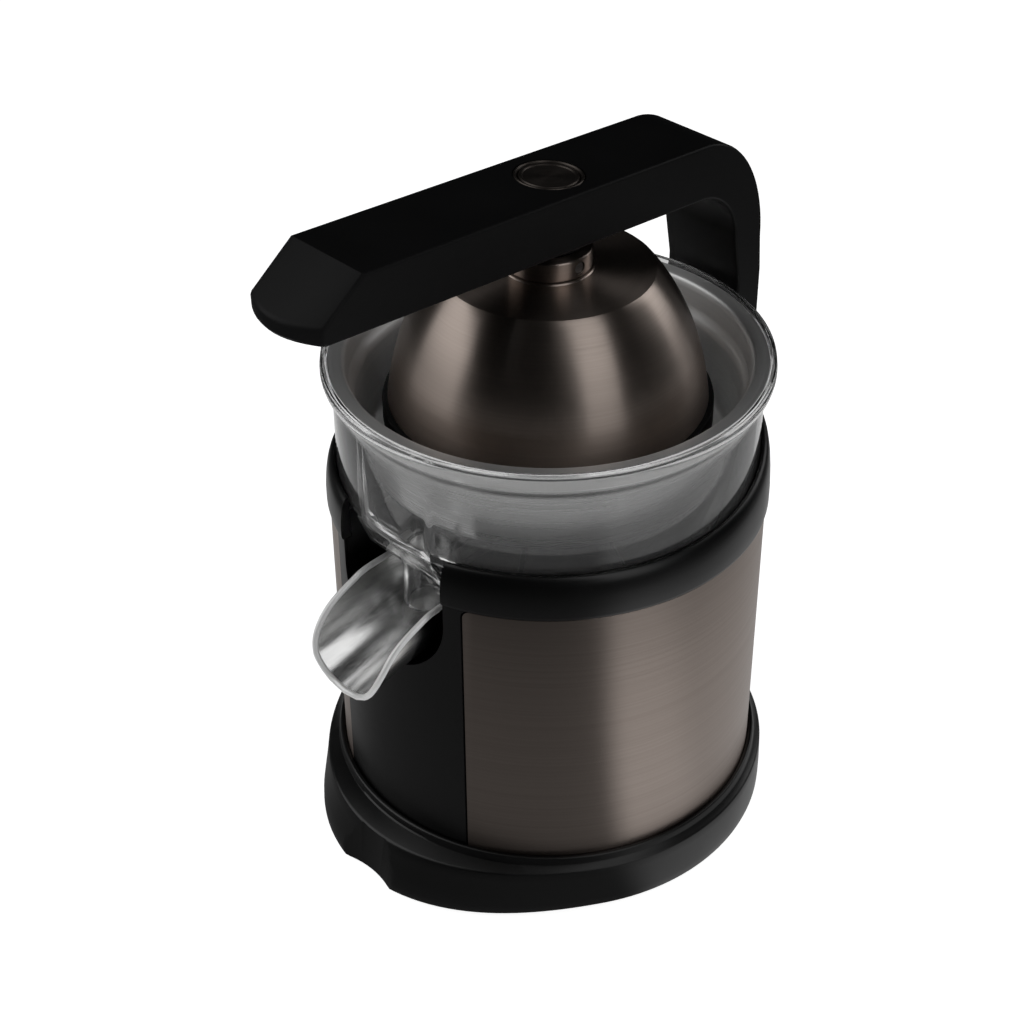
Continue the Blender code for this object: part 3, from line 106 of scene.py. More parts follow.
# %% Place the camera
CAMERA_AZIMUTH = 45.3
CAMERA_REACH = 607.2
CAMERA_RISE = 371.7
CAMERA_LENS = 70.7
PAST_AXIS = 1.24
LOOK_DOWN = 35.79
LEAN = -0.44
azimuth = math.radians(CAMERA_AZIMUTH)
camera_data = bpy.data.cameras.new("catalogue_view")
camera_data.lens = CAMERA_LENS
camera_data.sensor_width = 36
camera = bpy.data.objects.new("catalogue_view", camera_data)
bpy.context.scene.collection.objects.link(camera)
camera_place = Vector((
    CAMERA_REACH * math.sin(azimuth), AXIS_Y - CAMERA_REACH * math.cos(azimuth), RIM + CAMERA_RISE
))
pan = Matrix.Rotation(math.radians(CAMERA_AZIMUTH + PAST_AXIS), 4, "Z")
tilt = Matrix.Rotation(math.radians(90 - LOOK_DOWN), 4, "X")
roll = Matrix.Rotation(math.radians(LEAN), 4, "Z")
camera.matrix_world = Matrix.Translation(camera_place * 0.001) @ pan @ tilt @ roll
bpy.context.scene.camera = camera
bpy.context.scene.view_settings.view_transform = "Standard"

# %% [markdown]
# ## Floor and light
# A pale floor fills the view. Two tall soft boxes stand left and right of the camera and
# draw the upright highlights on the dome, and a narrow one behind edges it. What polished
# and brushed metal shows is mostly the table round it, so a card lies under the floor that
# only reflections see: dark in front, where a studio's black flag would be, and pale at
# the sides.

# %% Lay the floor
FLOOR_GLOW = 0.92
# Where the floor is seen through the bowl it glows less than in plain view: painted shade in the bowl.
GLOW_THROUGH_BOWL = 0.42


def flat_disc(name, radius, height):
    bm = bmesh.new()
    bmesh.ops.create_circle(bm, cap_ends=True, segments=64, radius=radius * 0.001)
    bmesh.ops.translate(bm, verts=bm.verts, vec=(0, AXIS_Y * 0.001, height * 0.001))
    mesh = bpy.data.meshes.new(name)
    bm.to_mesh(mesh)
    bm.free()
    disc = bpy.data.objects.new(name, mesh)
    bpy.context.scene.collection.objects.link(disc)
    disc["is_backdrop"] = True
    return disc


floor = flat_disc("floor", 6000, 0)
floor_finish = bpy.data.materials.new("pale_floor")
floor_finish.use_nodes = True
floor_shader = floor_finish.node_tree.nodes["Principled BSDF"]
floor_shader.inputs["Base Color"].default_value = (0.9, 0.9, 0.9, 1)
floor_shader.inputs["Roughness"].default_value = 0.9
floor_shader.inputs["Emission Color"].default_value = (1, 1, 1, 1)
through = floor_finish.node_tree.nodes.new("ShaderNodeLightPath")
seen = floor_finish.node_tree.nodes.new("ShaderNodeMapRange")
seen.inputs["To Min"].default_value = FLOOR_GLOW
seen.inputs["To Max"].default_value = GLOW_THROUGH_BOWL
floor_finish.node_tree.links.new(through.outputs["Is Transmission Ray"], seen.inputs["Value"])
floor_finish.node_tree.links.new(seen.outputs["Result"], floor_shader.inputs["Emission Strength"])
floor.data.materials.append(floor_finish)
floor.visible_glossy = False

# %% Paint the card that reflections see
FLAG_TONE = 0.12
TABLE_TONE = 0.66


def math_node(tree, operation, *values):
    """A Math node whose inputs are numbers or sockets; hands back its output socket."""
    node = tree.nodes.new("ShaderNodeMath")
    node.operation = operation
    for place, value in enumerate(values):
        if isinstance(value, (int, float)):
            node.inputs[place].default_value = value
        else:
            tree.links.new(value, node.inputs[place])
    return node.outputs[0]


def ramp_between(tree, value, start, end, low, high):
    """A smooth Map Range from start..end to low..high."""
    node = tree.nodes.new("ShaderNodeMapRange")
    node.interpolation_type = "SMOOTHSTEP"
    tree.links.new(value, node.inputs["Value"])
    for name, number in (("From Min", start), ("From Max", end), ("To Min", low), ("To Max", high)):
        node.inputs[name].default_value = number
    return node.outputs["Result"]


card = flat_disc("reflection_card", 1500, -2)
card_finish = bpy.data.materials.new("card_tones")
card_finish.use_nodes = True
tree = card_finish.node_tree
tree.nodes.clear()
where = tree.nodes.new("ShaderNodeTexCoord").outputs["Object"]
place_on_card = tree.nodes.new("ShaderNodeSeparateXYZ")
tree.links.new(where, place_on_card.inputs[0])
across = place_on_card.outputs["X"]
ahead = math_node(tree, "SUBTRACT", AXIS_Y * 0.001, place_on_card.outputs["Y"])
bearing = math_node(tree, "ARCTAN2", across, ahead)
right_rise = ramp_between(tree, bearing, math.radians(66), math.radians(80), 0.0, 1.0)
right_fall = ramp_between(tree, bearing, math.radians(95), math.radians(118), 1.0, 0.74)
left_side = ramp_between(tree, bearing, math.radians(-120), math.radians(-25), 1.1, 0.0)
sides = math_node(tree, "MAXIMUM", math_node(tree, "MULTIPLY", right_rise, right_fall), left_side)
across_squared = math_node(tree, "MULTIPLY", across, across)
ahead_squared = math_node(tree, "MULTIPLY", ahead, ahead)
far = math_node(tree, "SQRT", math_node(tree, "ADD", across_squared, ahead_squared))
near = ramp_between(tree, far, 0.3, 0.42, 1.0, 0.12)
tone = math_node(tree, "MULTIPLY_ADD", sides, TABLE_TONE - FLAG_TONE, FLAG_TONE)
tone = math_node(tree, "MULTIPLY", tone, near)
glow = tree.nodes.new("ShaderNodeEmission")
tree.links.new(tone, glow.inputs["Strength"])
card_output = tree.nodes.new("ShaderNodeOutputMaterial")
tree.links.new(glow.outputs[0], card_output.inputs["Surface"])
card.data.materials.append(card_finish)
card.visible_camera = False
card.visible_diffuse = False
card.visible_shadow = False

# %% Hang the soft boxes and dim the room
BOX_REACH = 1000
ROOM_LIGHT = 0.008
BACKDROP_TONE = 0.92


def soft_box(name, bearing_deg, rise_deg, width, height, watts):
    """A rectangular area light that faces the dome, at a bearing from the front towards the right."""
    light = bpy.data.lights.new(name, "AREA")
    light.shape = "RECTANGLE"
    light.size = width * 0.001
    light.size_y = height * 0.001
    light.energy = watts
    lamp = bpy.data.objects.new(name, light)
    bpy.context.scene.collection.objects.link(lamp)
    side, up = math.radians(bearing_deg), math.radians(rise_deg)
    aim = Vector((0, AXIS_Y, RIM)) * 0.001
    away = Vector((math.sin(side) * math.cos(up), -math.cos(side) * math.cos(up), math.sin(up)))
    lamp.location = aim + away * BOX_REACH * 0.001
    lamp.rotation_euler = away.to_track_quat("Z", "Y").to_euler()
    lamp.visible_camera = False


soft_box("right_box", bearing_deg=85, rise_deg=36, width=520, height=1300, watts=2.1)
soft_box("left_box", bearing_deg=-44, rise_deg=36, width=900, height=1300, watts=4.4)
soft_box("edge_box", bearing_deg=164, rise_deg=26, width=360, height=800, watts=1.3)
world = bpy.data.worlds.new("dim_room")
world.use_nodes = True
dim = world.node_tree.nodes["Background"]
dim.inputs["Color"].default_value = (0.9, 0.95, 1.0, 1)
dim.inputs["Strength"].default_value = ROOM_LIGHT
backdrop = world.node_tree.nodes.new("ShaderNodeBackground")
backdrop.inputs["Color"].default_value = (BACKDROP_TONE, BACKDROP_TONE, BACKDROP_TONE, 1)
either = world.node_tree.nodes.new("ShaderNodeMixShader")
path = world.node_tree.nodes.new("ShaderNodeLightPath")
world.node_tree.links.new(path.outputs["Is Camera Ray"], either.inputs["Fac"])
world.node_tree.links.new(dim.outputs[0], either.inputs[1])
world.node_tree.links.new(backdrop.outputs[0], either.inputs[2])
world.node_tree.links.new(either.outputs[0], world.node_tree.nodes["World Output"].inputs["Surface"])
bpy.context.scene.world = world

# %% [markdown]
# ## Shared surface effects
# Turned and brushed metal shows thousands of fine lines that follow the tool. One node
# group makes them for every metal piece: it stretches noise along the lines and packs it
# tightly across them. On a turned piece the lines are rings, so height and radius are
# folded into one number first.

# %% Node group: tool lines
def new_group(name, inputs, outputs):
    group = bpy.data.node_groups.new(name, "ShaderNodeTree")
    for label, kind, default in inputs:
        socket = group.interface.new_socket(name=label, in_out="INPUT", socket_type=kind)
        socket.default_value = default
    for label in outputs:
        group.interface.new_socket(name=label, in_out="OUTPUT", socket_type="NodeSocketFloat")
    return group, group.nodes.new("NodeGroupInput"), group.nodes.new("NodeGroupOutput")


tool_lines, source, result = new_group(
    "tool_lines",
    [
        ("Position", "NodeSocketVector", (0, 0, 0)),
        ("Stretch", "NodeSocketVector", (8, 8, 2500)),
        ("Ring Share", "NodeSocketFloat", 1.0),
    ],
    ["Tone", "Fine"],
)
split = tool_lines.nodes.new("ShaderNodeSeparateXYZ")
tool_lines.links.new(source.outputs["Position"], split.inputs[0])
flat = tool_lines.nodes.new("ShaderNodeCombineXYZ")
tool_lines.links.new(split.outputs["X"], flat.inputs["X"])
tool_lines.links.new(split.outputs["Y"], flat.inputs["Y"])
from_axis = tool_lines.nodes.new("ShaderNodeVectorMath")
from_axis.operation = "LENGTH"
tool_lines.links.new(flat.outputs[0], from_axis.inputs[0])
folded = math_node(tool_lines, "MULTIPLY", from_axis.outputs["Value"], source.outputs["Ring Share"])
ring_height = math_node(tool_lines, "SUBTRACT", split.outputs["Z"], folded)
joined = tool_lines.nodes.new("ShaderNodeCombineXYZ")
tool_lines.links.new(split.outputs["X"], joined.inputs["X"])
tool_lines.links.new(split.outputs["Y"], joined.inputs["Y"])
tool_lines.links.new(ring_height, joined.inputs["Z"])
stretched = tool_lines.nodes.new("ShaderNodeVectorMath")
stretched.operation = "MULTIPLY"
tool_lines.links.new(joined.outputs[0], stretched.inputs[0])
tool_lines.links.new(source.outputs["Stretch"], stretched.inputs[1])
for label, scale, detail in (("Tone", 0.35, 3), ("Fine", 1.6, 2)):
    noise = tool_lines.nodes.new("ShaderNodeTexNoise")
    noise.inputs["Scale"].default_value = scale
    noise.inputs["Detail"].default_value = detail
    tool_lines.links.new(stretched.outputs[0], noise.inputs["Vector"])
    tool_lines.links.new(noise.outputs["Fac"], result.inputs[label])

# %% [markdown]
# Moulded plastic and rubber are never quite even: the mould leaves a fine grain, and use
# leaves broad patches that are a little glossier. The second group gives both.

# %% Node group: moulded grain and handling
moulded, source, result = new_group(
    "moulded_surface",
    [
        ("Position", "NodeSocketVector", (0, 0, 0)),
        ("Grain Size", "NodeSocketFloat", 2200.0),
        ("Patch Size", "NodeSocketFloat", 24.0),
    ],
    ["Grain", "Patch"],
)
for label, size, detail in (("Grain", "Grain Size", 2), ("Patch", "Patch Size", 4)):
    noise = moulded.nodes.new("ShaderNodeTexNoise")
    noise.inputs["Detail"].default_value = detail
    moulded.links.new(source.outputs["Position"], noise.inputs["Vector"])
    moulded.links.new(source.outputs[size], noise.inputs["Scale"])
    moulded.links.new(noise.outputs["Fac"], result.inputs[label])

# %% Helpers that place a group in a material
def centred_position(tree):
    """Object coordinates, in metres, measured from the press axis."""
    where = tree.nodes.new("ShaderNodeTexCoord")
    mapping = tree.nodes.new("ShaderNodeMapping")
    mapping.inputs["Location"].default_value = (0, -AXIS_Y * 0.001, 0)
    tree.links.new(where.outputs["Object"], mapping.inputs["Vector"])
    return mapping.outputs[0]


def use_group(tree, group, position, **values):
    node = tree.nodes.new("ShaderNodeGroup")
    node.node_tree = group
    tree.links.new(position, node.inputs["Position"])
    for label, value in values.items():
        node.inputs[label.replace("_", " ")].default_value = value
    return node


def mixed_color(tree, factor, low, high):
    mix = tree.nodes.new("ShaderNodeMix")
    mix.data_type = "RGBA"
    tree.links.new(factor, mix.inputs["Factor"])
    mix.inputs["A"].default_value = (*low, 1)
    mix.inputs["B"].default_value = (*high, 1)
    return mix.outputs["Result"]


def bump(tree, shader, height, strength, distance_mm):
    node = tree.nodes.new("ShaderNodeBump")
    node.inputs["Strength"].default_value = strength
    node.inputs["Distance"].default_value = distance_mm * 0.001
    tree.links.new(height, node.inputs["Height"])
    tree.links.new(node.outputs[0], shader.inputs["Normal"])


def blank_finish(name, metallic):
    finish = bpy.data.materials.new(name)
    finish.use_nodes = True
    shader = finish.node_tree.nodes["Principled BSDF"]
    shader.inputs["Metallic"].default_value = metallic
    return finish, finish.node_tree, shader


# %% [markdown]
# ## Metals
# The wrap and the dome are stainless steel with a warm bronze tint. Brushing follows the
# circumference, so light spreads up and down and leaves soft upright bands.

# %% Metal finishes
LINE_DEPTH = 0.02
QUARTER_TURN = 0.25
NOISE_LOW, NOISE_HIGH = 0.3, 0.7


def brushed_metal(name, low, high, rough, stretch, rings=1.0, spread=0.5, depth=0.25):
    """Metal with tool lines: low and high are the tones between and on the lines."""
    finish, tree, shader = blank_finish(name, 1.0)
    lines = use_group(tree, tool_lines, centred_position(tree), Stretch=stretch, Ring_Share=rings)
    tree.links.new(mixed_color(tree, lines.outputs["Tone"], low, high), shader.inputs["Base Color"])
    roughness = ramp_between(tree, lines.outputs["Fine"], NOISE_LOW, NOISE_HIGH, *rough)
    tree.links.new(roughness, shader.inputs["Roughness"])
    shader.inputs["Anisotropic"].default_value = spread
    shader.inputs["Anisotropic Rotation"].default_value = QUARTER_TURN
    bump(tree, shader, lines.outputs["Fine"], depth, LINE_DEPTH)
    return finish


bronze_wrap = brushed_metal(
    "bronze_wrap", (0.36, 0.3, 0.265), (0.47, 0.4, 0.36), (0.3, 0.38), (6, 6, 2600), spread=0.8, depth=0.15
)
bronze_dome = brushed_metal(
    "bronze_dome", (0.36, 0.3, 0.265), (0.44, 0.375, 0.335), (0.3, 0.38), (6, 6, 3000), spread=0.85, depth=0.1
)
bronze_button = brushed_metal(
    "bronze_button", (0.075, 0.065, 0.058), (0.12, 0.105, 0.095), (0.4, 0.5), (6, 6, 2000)
)
strainer_steel = brushed_metal(
    "strainer_steel", (0.82, 0.82, 0.82), (0.92, 0.92, 0.91), (0.5, 0.58), (8, 8, 1500), spread=0.3,
    depth=0.08,
)
# A darker, glossier copy of the strainer's steel for its outside within the bowl; the darker colour is
# painted shade.
strainer_outside_painted_shade = brushed_metal(
    "strainer_outside_painted_shade", (0.36, 0.36, 0.36), (0.48, 0.48, 0.48), (0.26, 0.34), (8, 8, 1500), spread=0.6, depth=0.08
)
spout_steel = brushed_metal(
    "spout_steel", (0.8, 0.8, 0.8), (0.92, 0.92, 0.91), (0.2, 0.27), (900, 10, 900), rings=0.0, spread=0.2,
    depth=0.06,
)
# The spout's rolled bead takes a white, partly non-metal finish so the floor's glow lights it: a painted
# highlight.
bead_painted_highlight = brushed_metal(
    "bead_painted_highlight", (0.92, 0.92, 0.92), (0.97, 0.97, 0.96), (0.3, 0.4), (60, 60, 60), depth=0.02
)
bead_painted_highlight.node_tree.nodes["Principled BSDF"].inputs["Metallic"].default_value = 0.3
machined_steel = brushed_metal(
    "machined_steel", (0.4, 0.4, 0.4), (0.62, 0.62, 0.62), (0.25, 0.4), (40, 40, 3000)
)
turned_brass = brushed_metal("turned_brass", (0.55, 0.38, 0.16), (0.8, 0.6, 0.3), (0.25, 0.4), (40, 40, 3000))

# %% [markdown]
# ## Plastics and rubber
# The arm, base, collar and front panel are satin black mouldings. They are dark enough that
# their form is read from the sheen alone, so the grain and the glossier patches matter more
# than the colour. The bowl is clear and a little grey.

# %% Plastic and rubber finishes
GRAIN_DEPTH = 0.03


def moulding(name, low, high, rough, sheen_level=0.2, grain=0.12, grain_size=2200.0):
    """Plastic or rubber with mould grain and handling patches."""
    finish, tree, shader = blank_finish(name, 0.0)
    skin = use_group(tree, moulded, centred_position(tree), Grain_Size=grain_size, Patch_Size=24.0)
    tree.links.new(mixed_color(tree, skin.outputs["Patch"], low, high), shader.inputs["Base Color"])
    roughness = ramp_between(tree, skin.outputs["Patch"], NOISE_LOW, NOISE_HIGH, *rough)
    tree.links.new(roughness, shader.inputs["Roughness"])
    shader.inputs["Specular IOR Level"].default_value = sheen_level
    bump(tree, shader, skin.outputs["Grain"], grain, GRAIN_DEPTH)
    return finish


satin_black = moulding("satin_black", (0.0048, 0.0048, 0.005), (0.0072, 0.0072, 0.0074), (0.42, 0.52), 0.12)
body_black = moulding("body_black", (0.001, 0.001, 0.0011), (0.0022, 0.0022, 0.0023), (0.3, 0.4), 0.5)
inner_black = moulding("inner_black", (0.004, 0.004, 0.004), (0.008, 0.008, 0.008), (0.55, 0.65), 0.2)
foot_rubber = moulding(
    "foot_rubber", (0.012, 0.012, 0.012), (0.022, 0.022, 0.022), (0.7, 0.85), 0.2, 0.3, 1200.0
)
gear_nylon = moulding("gear_nylon", (0.62, 0.6, 0.52), (0.74, 0.72, 0.65), (0.4, 0.5), 0.4)

# %% The clear bowl's finish
clear_finish, clear_tree, clear_shader = blank_finish("clear_bowl", 0.0)
clear_shader.inputs["Base Color"].default_value = (0.9, 0.9, 0.9, 1)
clear_shader.inputs["Transmission Weight"].default_value = 0.97
clear_shader.inputs["IOR"].default_value = 1.47
smears = use_group(clear_tree, moulded, centred_position(clear_tree), Grain_Size=600.0, Patch_Size=30.0)
haze = ramp_between(clear_tree, smears.outputs["Patch"], 0.45, 0.8, 0.015, 0.06)
clear_tree.links.new(haze, clear_shader.inputs["Roughness"])

# %% [markdown]
# ## How the pieces are made
# Most of the press was turned or spun, so most pieces are an outline spun round the press
# axis. The arm, panel and spout are outlines pulled straight. Windows and pockets are then
# cut with a Boolean, and sharp edges rounded, as a mould or press tool would leave them.

# %% Helpers: spin, pull, carve, round
def mm(*values):
    return tuple(v * 0.001 for v in values)


def spun(outline, steps=144):
    """A closed outline of (radius, height) points spun round the upright axis."""
    bm = bmesh.new()
    points = [bm.verts.new(mm(r, 0, z)) for r, z in outline]
    sides = zip(points, points[1:] + points[:1])
    edges = [bm.edges.new((a, b)) for a, b in sides if a.co.x > 1e-9 or b.co.x > 1e-9]
    bmesh.ops.spin(
        bm, geom=points + edges, cent=(0, 0, 0), axis=(0, 0, 1), angle=math.tau, steps=steps, use_merge=True
    )
    bmesh.ops.remove_doubles(bm, verts=bm.verts, dist=1e-6)
    bmesh.ops.recalc_face_normals(bm, faces=bm.faces)
    return bm


def pulled(outline, start, end, along="X"):
    """An outline pulled straight: (y, z) points along X, (x, z) along Y, (x, y) along Z."""
    orders = {
        "X": lambda a, b, w: (w, a, b), "Y": lambda a, b, w: (a, w, b), "Z": lambda a, b, w: (a, b, w)
    }
    order = orders[along]
    bm = bmesh.new()
    face = bm.faces.new([bm.verts.new(mm(*order(a, b, start))) for a, b in outline])
    grown = bmesh.ops.extrude_face_region(bm, geom=[face])["geom"]
    moved = [item for item in grown if isinstance(item, bmesh.types.BMVert)]
    bmesh.ops.translate(bm, verts=moved, vec=mm(*order(0, 0, end - start)))
    bmesh.ops.recalc_face_normals(bm, faces=bm.faces)
    return bm


def bar(radius, start, end, along="X", at=(0, 0), segments=32):
    """A round bar along X or Z; at gives its other two places, (y, z) or (x, y)."""
    bm = bmesh.new()
    bmesh.ops.create_cone(
        bm, cap_ends=True, segments=segments, radius1=radius * 0.001, radius2=radius * 0.001,
        depth=(end - start) * 0.001,
    )
    if along == "X":
        bmesh.ops.rotate(bm, verts=bm.verts, matrix=Matrix.Rotation(math.pi / 2, 3, "Y"))
        bmesh.ops.translate(bm, verts=bm.verts, vec=mm((start + end) / 2, *at))
    else:
        bmesh.ops.translate(bm, verts=bm.verts, vec=mm(*at, (start + end) / 2))
    return bm


def carved(bm, tool, how="DIFFERENCE"):
    """One bmesh cut by, joined with or kept inside another, through a Boolean modifier."""
    pair = []
    for part in (bm, tool):
        mesh = bpy.data.meshes.new("carving")
        part.to_mesh(mesh)
        part.free()
        pair.append(bpy.data.objects.new("carving", mesh))
        bpy.context.scene.collection.objects.link(pair[-1])
    cut = pair[0].modifiers.new("carve", "BOOLEAN")
    cut.operation = how
    cut.solver = "EXACT"
    cut.object = pair[1]
    shaped = bmesh.new()
    shaped.from_object(pair[0], bpy.context.evaluated_depsgraph_get())
    for obj in pair:
        bpy.data.objects.remove(obj)
    bmesh.ops.remove_doubles(shaped, verts=shaped.verts, dist=1e-6)
    return shaped


def round_edges(bm, width, segments=3, angle=40, keep=None):
    """Bevels the edges that turn by more than angle degrees; keep(edge) can choose among them."""
    chosen = [e for e in bm.edges if e.is_manifold and e.calc_face_angle(0) > math.radians(angle)]
    if keep:
        chosen = [e for e in chosen if keep(e)]
    bmesh.ops.bevel(
        bm, geom=chosen, offset=width * 0.001, offset_type="OFFSET", segments=segments, profile=0.5,
        affect="EDGES", clamp_overlap=True, material=-1,
    )
    return bm


def arc(center, radius, start, end, count):
    """Points on an arc, in degrees, both ends included."""
    found = []
    for i in range(count + 1):
        angle = math.radians(start + (end - start) * i / count)
        found.append((center[0] + radius * math.cos(angle), center[1] + radius * math.sin(angle)))
    return found


def rounded(outline, radius, steps=3):
    """The same closed outline with every corner cut to a short curve, at most radius back."""
    soft = []
    for i, point in enumerate(outline):
        here = Vector(point)
        before, after = Vector(outline[i - 1]) - here, Vector(outline[(i + 1) % len(outline)]) - here
        reach = min(radius, before.length * 0.4, after.length * 0.4)
        if here.x < 1e-6 or reach < 1e-4:
            soft.append(point)
            continue
        a, b = here + before.normalized() * reach, here + after.normalized() * reach
        for step in range(steps + 1):
            t = step / steps
            soft.append(tuple(a * (1 - t) ** 2 + here * 2 * t * (1 - t) + b * t**2))
    return soft


# %% Helper: turn a bmesh into a piece of the press
def place(name, bm, body, slot, finish, stands_for=(), sharp=32, even=False, offset=None):
    """Names the piece, gives it its finish and its body, and prints its size."""
    bmesh.ops.translate(bm, verts=bm.verts, vec=mm(*(offset or (0, AXIS_Y, 0))))
    mesh = bpy.data.meshes.new(name)
    bm.to_mesh(mesh)
    bm.free()
    mesh.shade_smooth()
    mesh.set_sharp_from_angle(angle=math.radians(sharp))
    mesh.materials.append(finish)
    piece = bpy.data.objects.new(name, mesh)
    bpy.context.scene.collection.objects.link(piece)
    if even:
        piece.modifiers.new("even_normals", "WEIGHTED_NORMAL").keep_sharp = True
    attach(piece, body)
    if stands_for:
        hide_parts(*stands_for)
    size = " x ".join(f"{side * 1000:.0f}" for side in piece.dimensions)
    print(f"{name}: {len(mesh.polygons)} faces, {size} mm")
    return piece


# %% [markdown]
# ## Base skirt
# The skirt is a deep ring that hides the feet. A raised lip hugs the wrap, a narrow flat
# step runs round it, and towards the front the step widens into a toe with a scooped
# notch. It is spun first, then its outer points are pushed out towards the front.

# %% Spin the skirt and widen its front
SKIRT_BORE = WRAP_R + 0.3
skirt_outline = [
    (SKIRT_BORE, 6.3), (SKIRT_BORE, 25.6), (SKIRT_BORE + 0.4, 26.0), (SKIRT_BORE + 1.3, 26.2),
    (SKIRT_BORE + 1.8, 26.0), (SKIRT_BORE + 2.1, 25.6), (SKIRT_BORE + 2.4, 23.6), (SKIRT_BORE + 2.7, 23.1),
    (SKIRT_BORE + 4.4, 22.0), (SKIRT_BORE + 4.8, 21.7), (SKIRT_BORE + 5.0, 21.2), (SKIRT_BORE + 5.1, 18),
    (SKIRT_BORE + 5.2, 15), (SKIRT_BORE + 5.3, 11), (SKIRT_BORE + 5.3, 7), (SKIRT_BORE + 5.2, 4.2),
    (SKIRT_BORE + 4.9, 3.3), (SKIRT_BORE + 4.3, 3.0), (WRAP_R - 18, 3.0), (WRAP_R - 18, 6.3),
]
skirt_push = [0, 0, 0, 0, 0, 0, 0, 0.2, 5.4, 5.8, 6.0, 7.0, 8.0, 9.6, 11.2, 11.6, 11.6, 11.2, 0, 0]
FRONT_SPREAD = math.radians(60)


def front_weight(x, y):
    bearing = abs(math.atan2(x, -y))
    return math.cos(bearing / FRONT_SPREAD * math.pi / 2) ** 2 if bearing < FRONT_SPREAD else 0.0


skirt = spun(skirt_outline, 160)
for vertex in skirt.verts:
    radius_mm, height_mm = math.hypot(vertex.co.x, vertex.co.y) * 1000, vertex.co.z * 1000
    gaps = [abs(r - radius_mm) + abs(z - height_mm) for r, z in skirt_outline]
    pushed = skirt_push[gaps.index(min(gaps))] * front_weight(vertex.co.x, vertex.co.y)
    vertex.co.x *= 1 + pushed / radius_mm
    vertex.co.y *= 1 + pushed / radius_mm

# %% Scoop the notch and cut the pockets underneath
NOTCH_R = 37
notch = bmesh.new()
bmesh.ops.create_cone(
    notch, cap_ends=True, segments=96, radius1=NOTCH_R * 0.001, radius2=(NOTCH_R + 3.2) * 0.001, depth=0.020
)
bmesh.ops.translate(notch, verts=notch.verts, vec=mm(0, -(SKIRT_BORE + 16.8 - 3.6 + NOTCH_R), 11.5))
skirt = carved(skirt, notch)
for number in range(1, 5):
    foot = middle(f"foot_{number}")
    skirt = carved(skirt, bar(7.8, -1, 4.3, "Z", (foot[0], foot[1] - AXIS_Y)))
    fixing = middle(f"base_screw_{number}")
    skirt = carved(skirt, bar(3.3, 0, 4.8, "Z", (fixing[0], fixing[1] - AXIS_Y)))
place("base_skirt", skirt, "stand", "satin_black", body_black, ["base_ring"], sharp=35)

# %% [markdown]
# ## Steel wrap
# A thin sheet rolled round the housing. It stops either side of the front panel, and its
# top corners curve away where panel and collar meet.

# %% Roll the wrap and open its front
PANEL_HALF = WRAP_R * math.sin(math.radians(24))


def panel_shape(half, top, fillet=3):
    right = arc((half + fillet, top - fillet), fillet, 180, 90, 8)
    left = [(-x, z) for x, z in reversed(right)]
    foot, head = (half, -5), (half + fillet, top + 4)
    return [foot] + right + [head, (-head[0], head[1])] + left + [(-half, -5)]


WRAP_BORE = WRAP_R - 0.8
wrap_outline = [(WRAP_BORE, WRAP_TOP), (WRAP_R, WRAP_TOP), (WRAP_R, WRAP_LOW), (WRAP_BORE, WRAP_LOW)]
wrap = spun(rounded(wrap_outline, 0.25), 200)
wrap = carved(wrap, pulled(panel_shape(PANEL_HALF + 0.3, WRAP_TOP), -WRAP_R - 9, -WRAP_R / 2, "Y"))
gland_z = middle("cord_gland")[2]
gland_hole = bar(4.2, -20, 20, "Z")
bmesh.ops.rotate(gland_hole, verts=gland_hole.verts, matrix=Matrix.Rotation(math.pi / 2, 3, "X"))
bmesh.ops.translate(gland_hole, verts=gland_hole.verts, vec=mm(0, WRAP_R, gland_z))
wrap = carved(wrap, gland_hole)
place("bronze_sheet", wrap, "stand", "bronze_steel", bronze_wrap, ["steel_wrap"])

# %% [markdown]
# ## Collar and front panel
# One black moulding: a rounded collar that the bowl drops into, rising towards the hinge,
# and a curved panel down the front with a round-bottomed window for the spout.

# %% Spin the collar, add the panel and cut the window
COLLAR_BORE = BOWL_R + 0.4
COLLAR_R = WRAP_R + 1.1
collar_height = COLLAR_TOP - COLLAR_LOW
collar_outline = [
    (COLLAR_BORE, COLLAR_TOP - 0.6), (COLLAR_BORE + 0.3, COLLAR_TOP - 0.1), (COLLAR_BORE + 0.8, COLLAR_TOP),
    (COLLAR_BORE + 1.6, COLLAR_TOP - 0.4), (COLLAR_BORE + 2.3, COLLAR_TOP - 1.5),
    (COLLAR_BORE + 2.9, COLLAR_TOP - 2.9), (COLLAR_BORE + 3.4, COLLAR_TOP - 4.8),
    (COLLAR_R - 0.3, COLLAR_TOP - 0.44 * collar_height), (COLLAR_R, COLLAR_TOP - 0.66 * collar_height),
    (COLLAR_R, COLLAR_LOW + 1.8), (COLLAR_R - 0.2, COLLAR_LOW + 0.8), (COLLAR_R - 0.8, COLLAR_LOW),
    (COLLAR_BORE, COLLAR_LOW),
]
BACK_RISE = 0.0076
collar = spun(collar_outline, 160)
for vertex in collar.verts:
    share = max(0.0, min(1.0, (vertex.co.z * 1000 - COLLAR_LOW - 1.5) / (collar_height - 2.5)))
    back = max(0.0, vertex.co.y * 1000 / WRAP_R + 0.3)
    vertex.co.z += BACK_RISE * share * share * (3 - 2 * share) * back * back

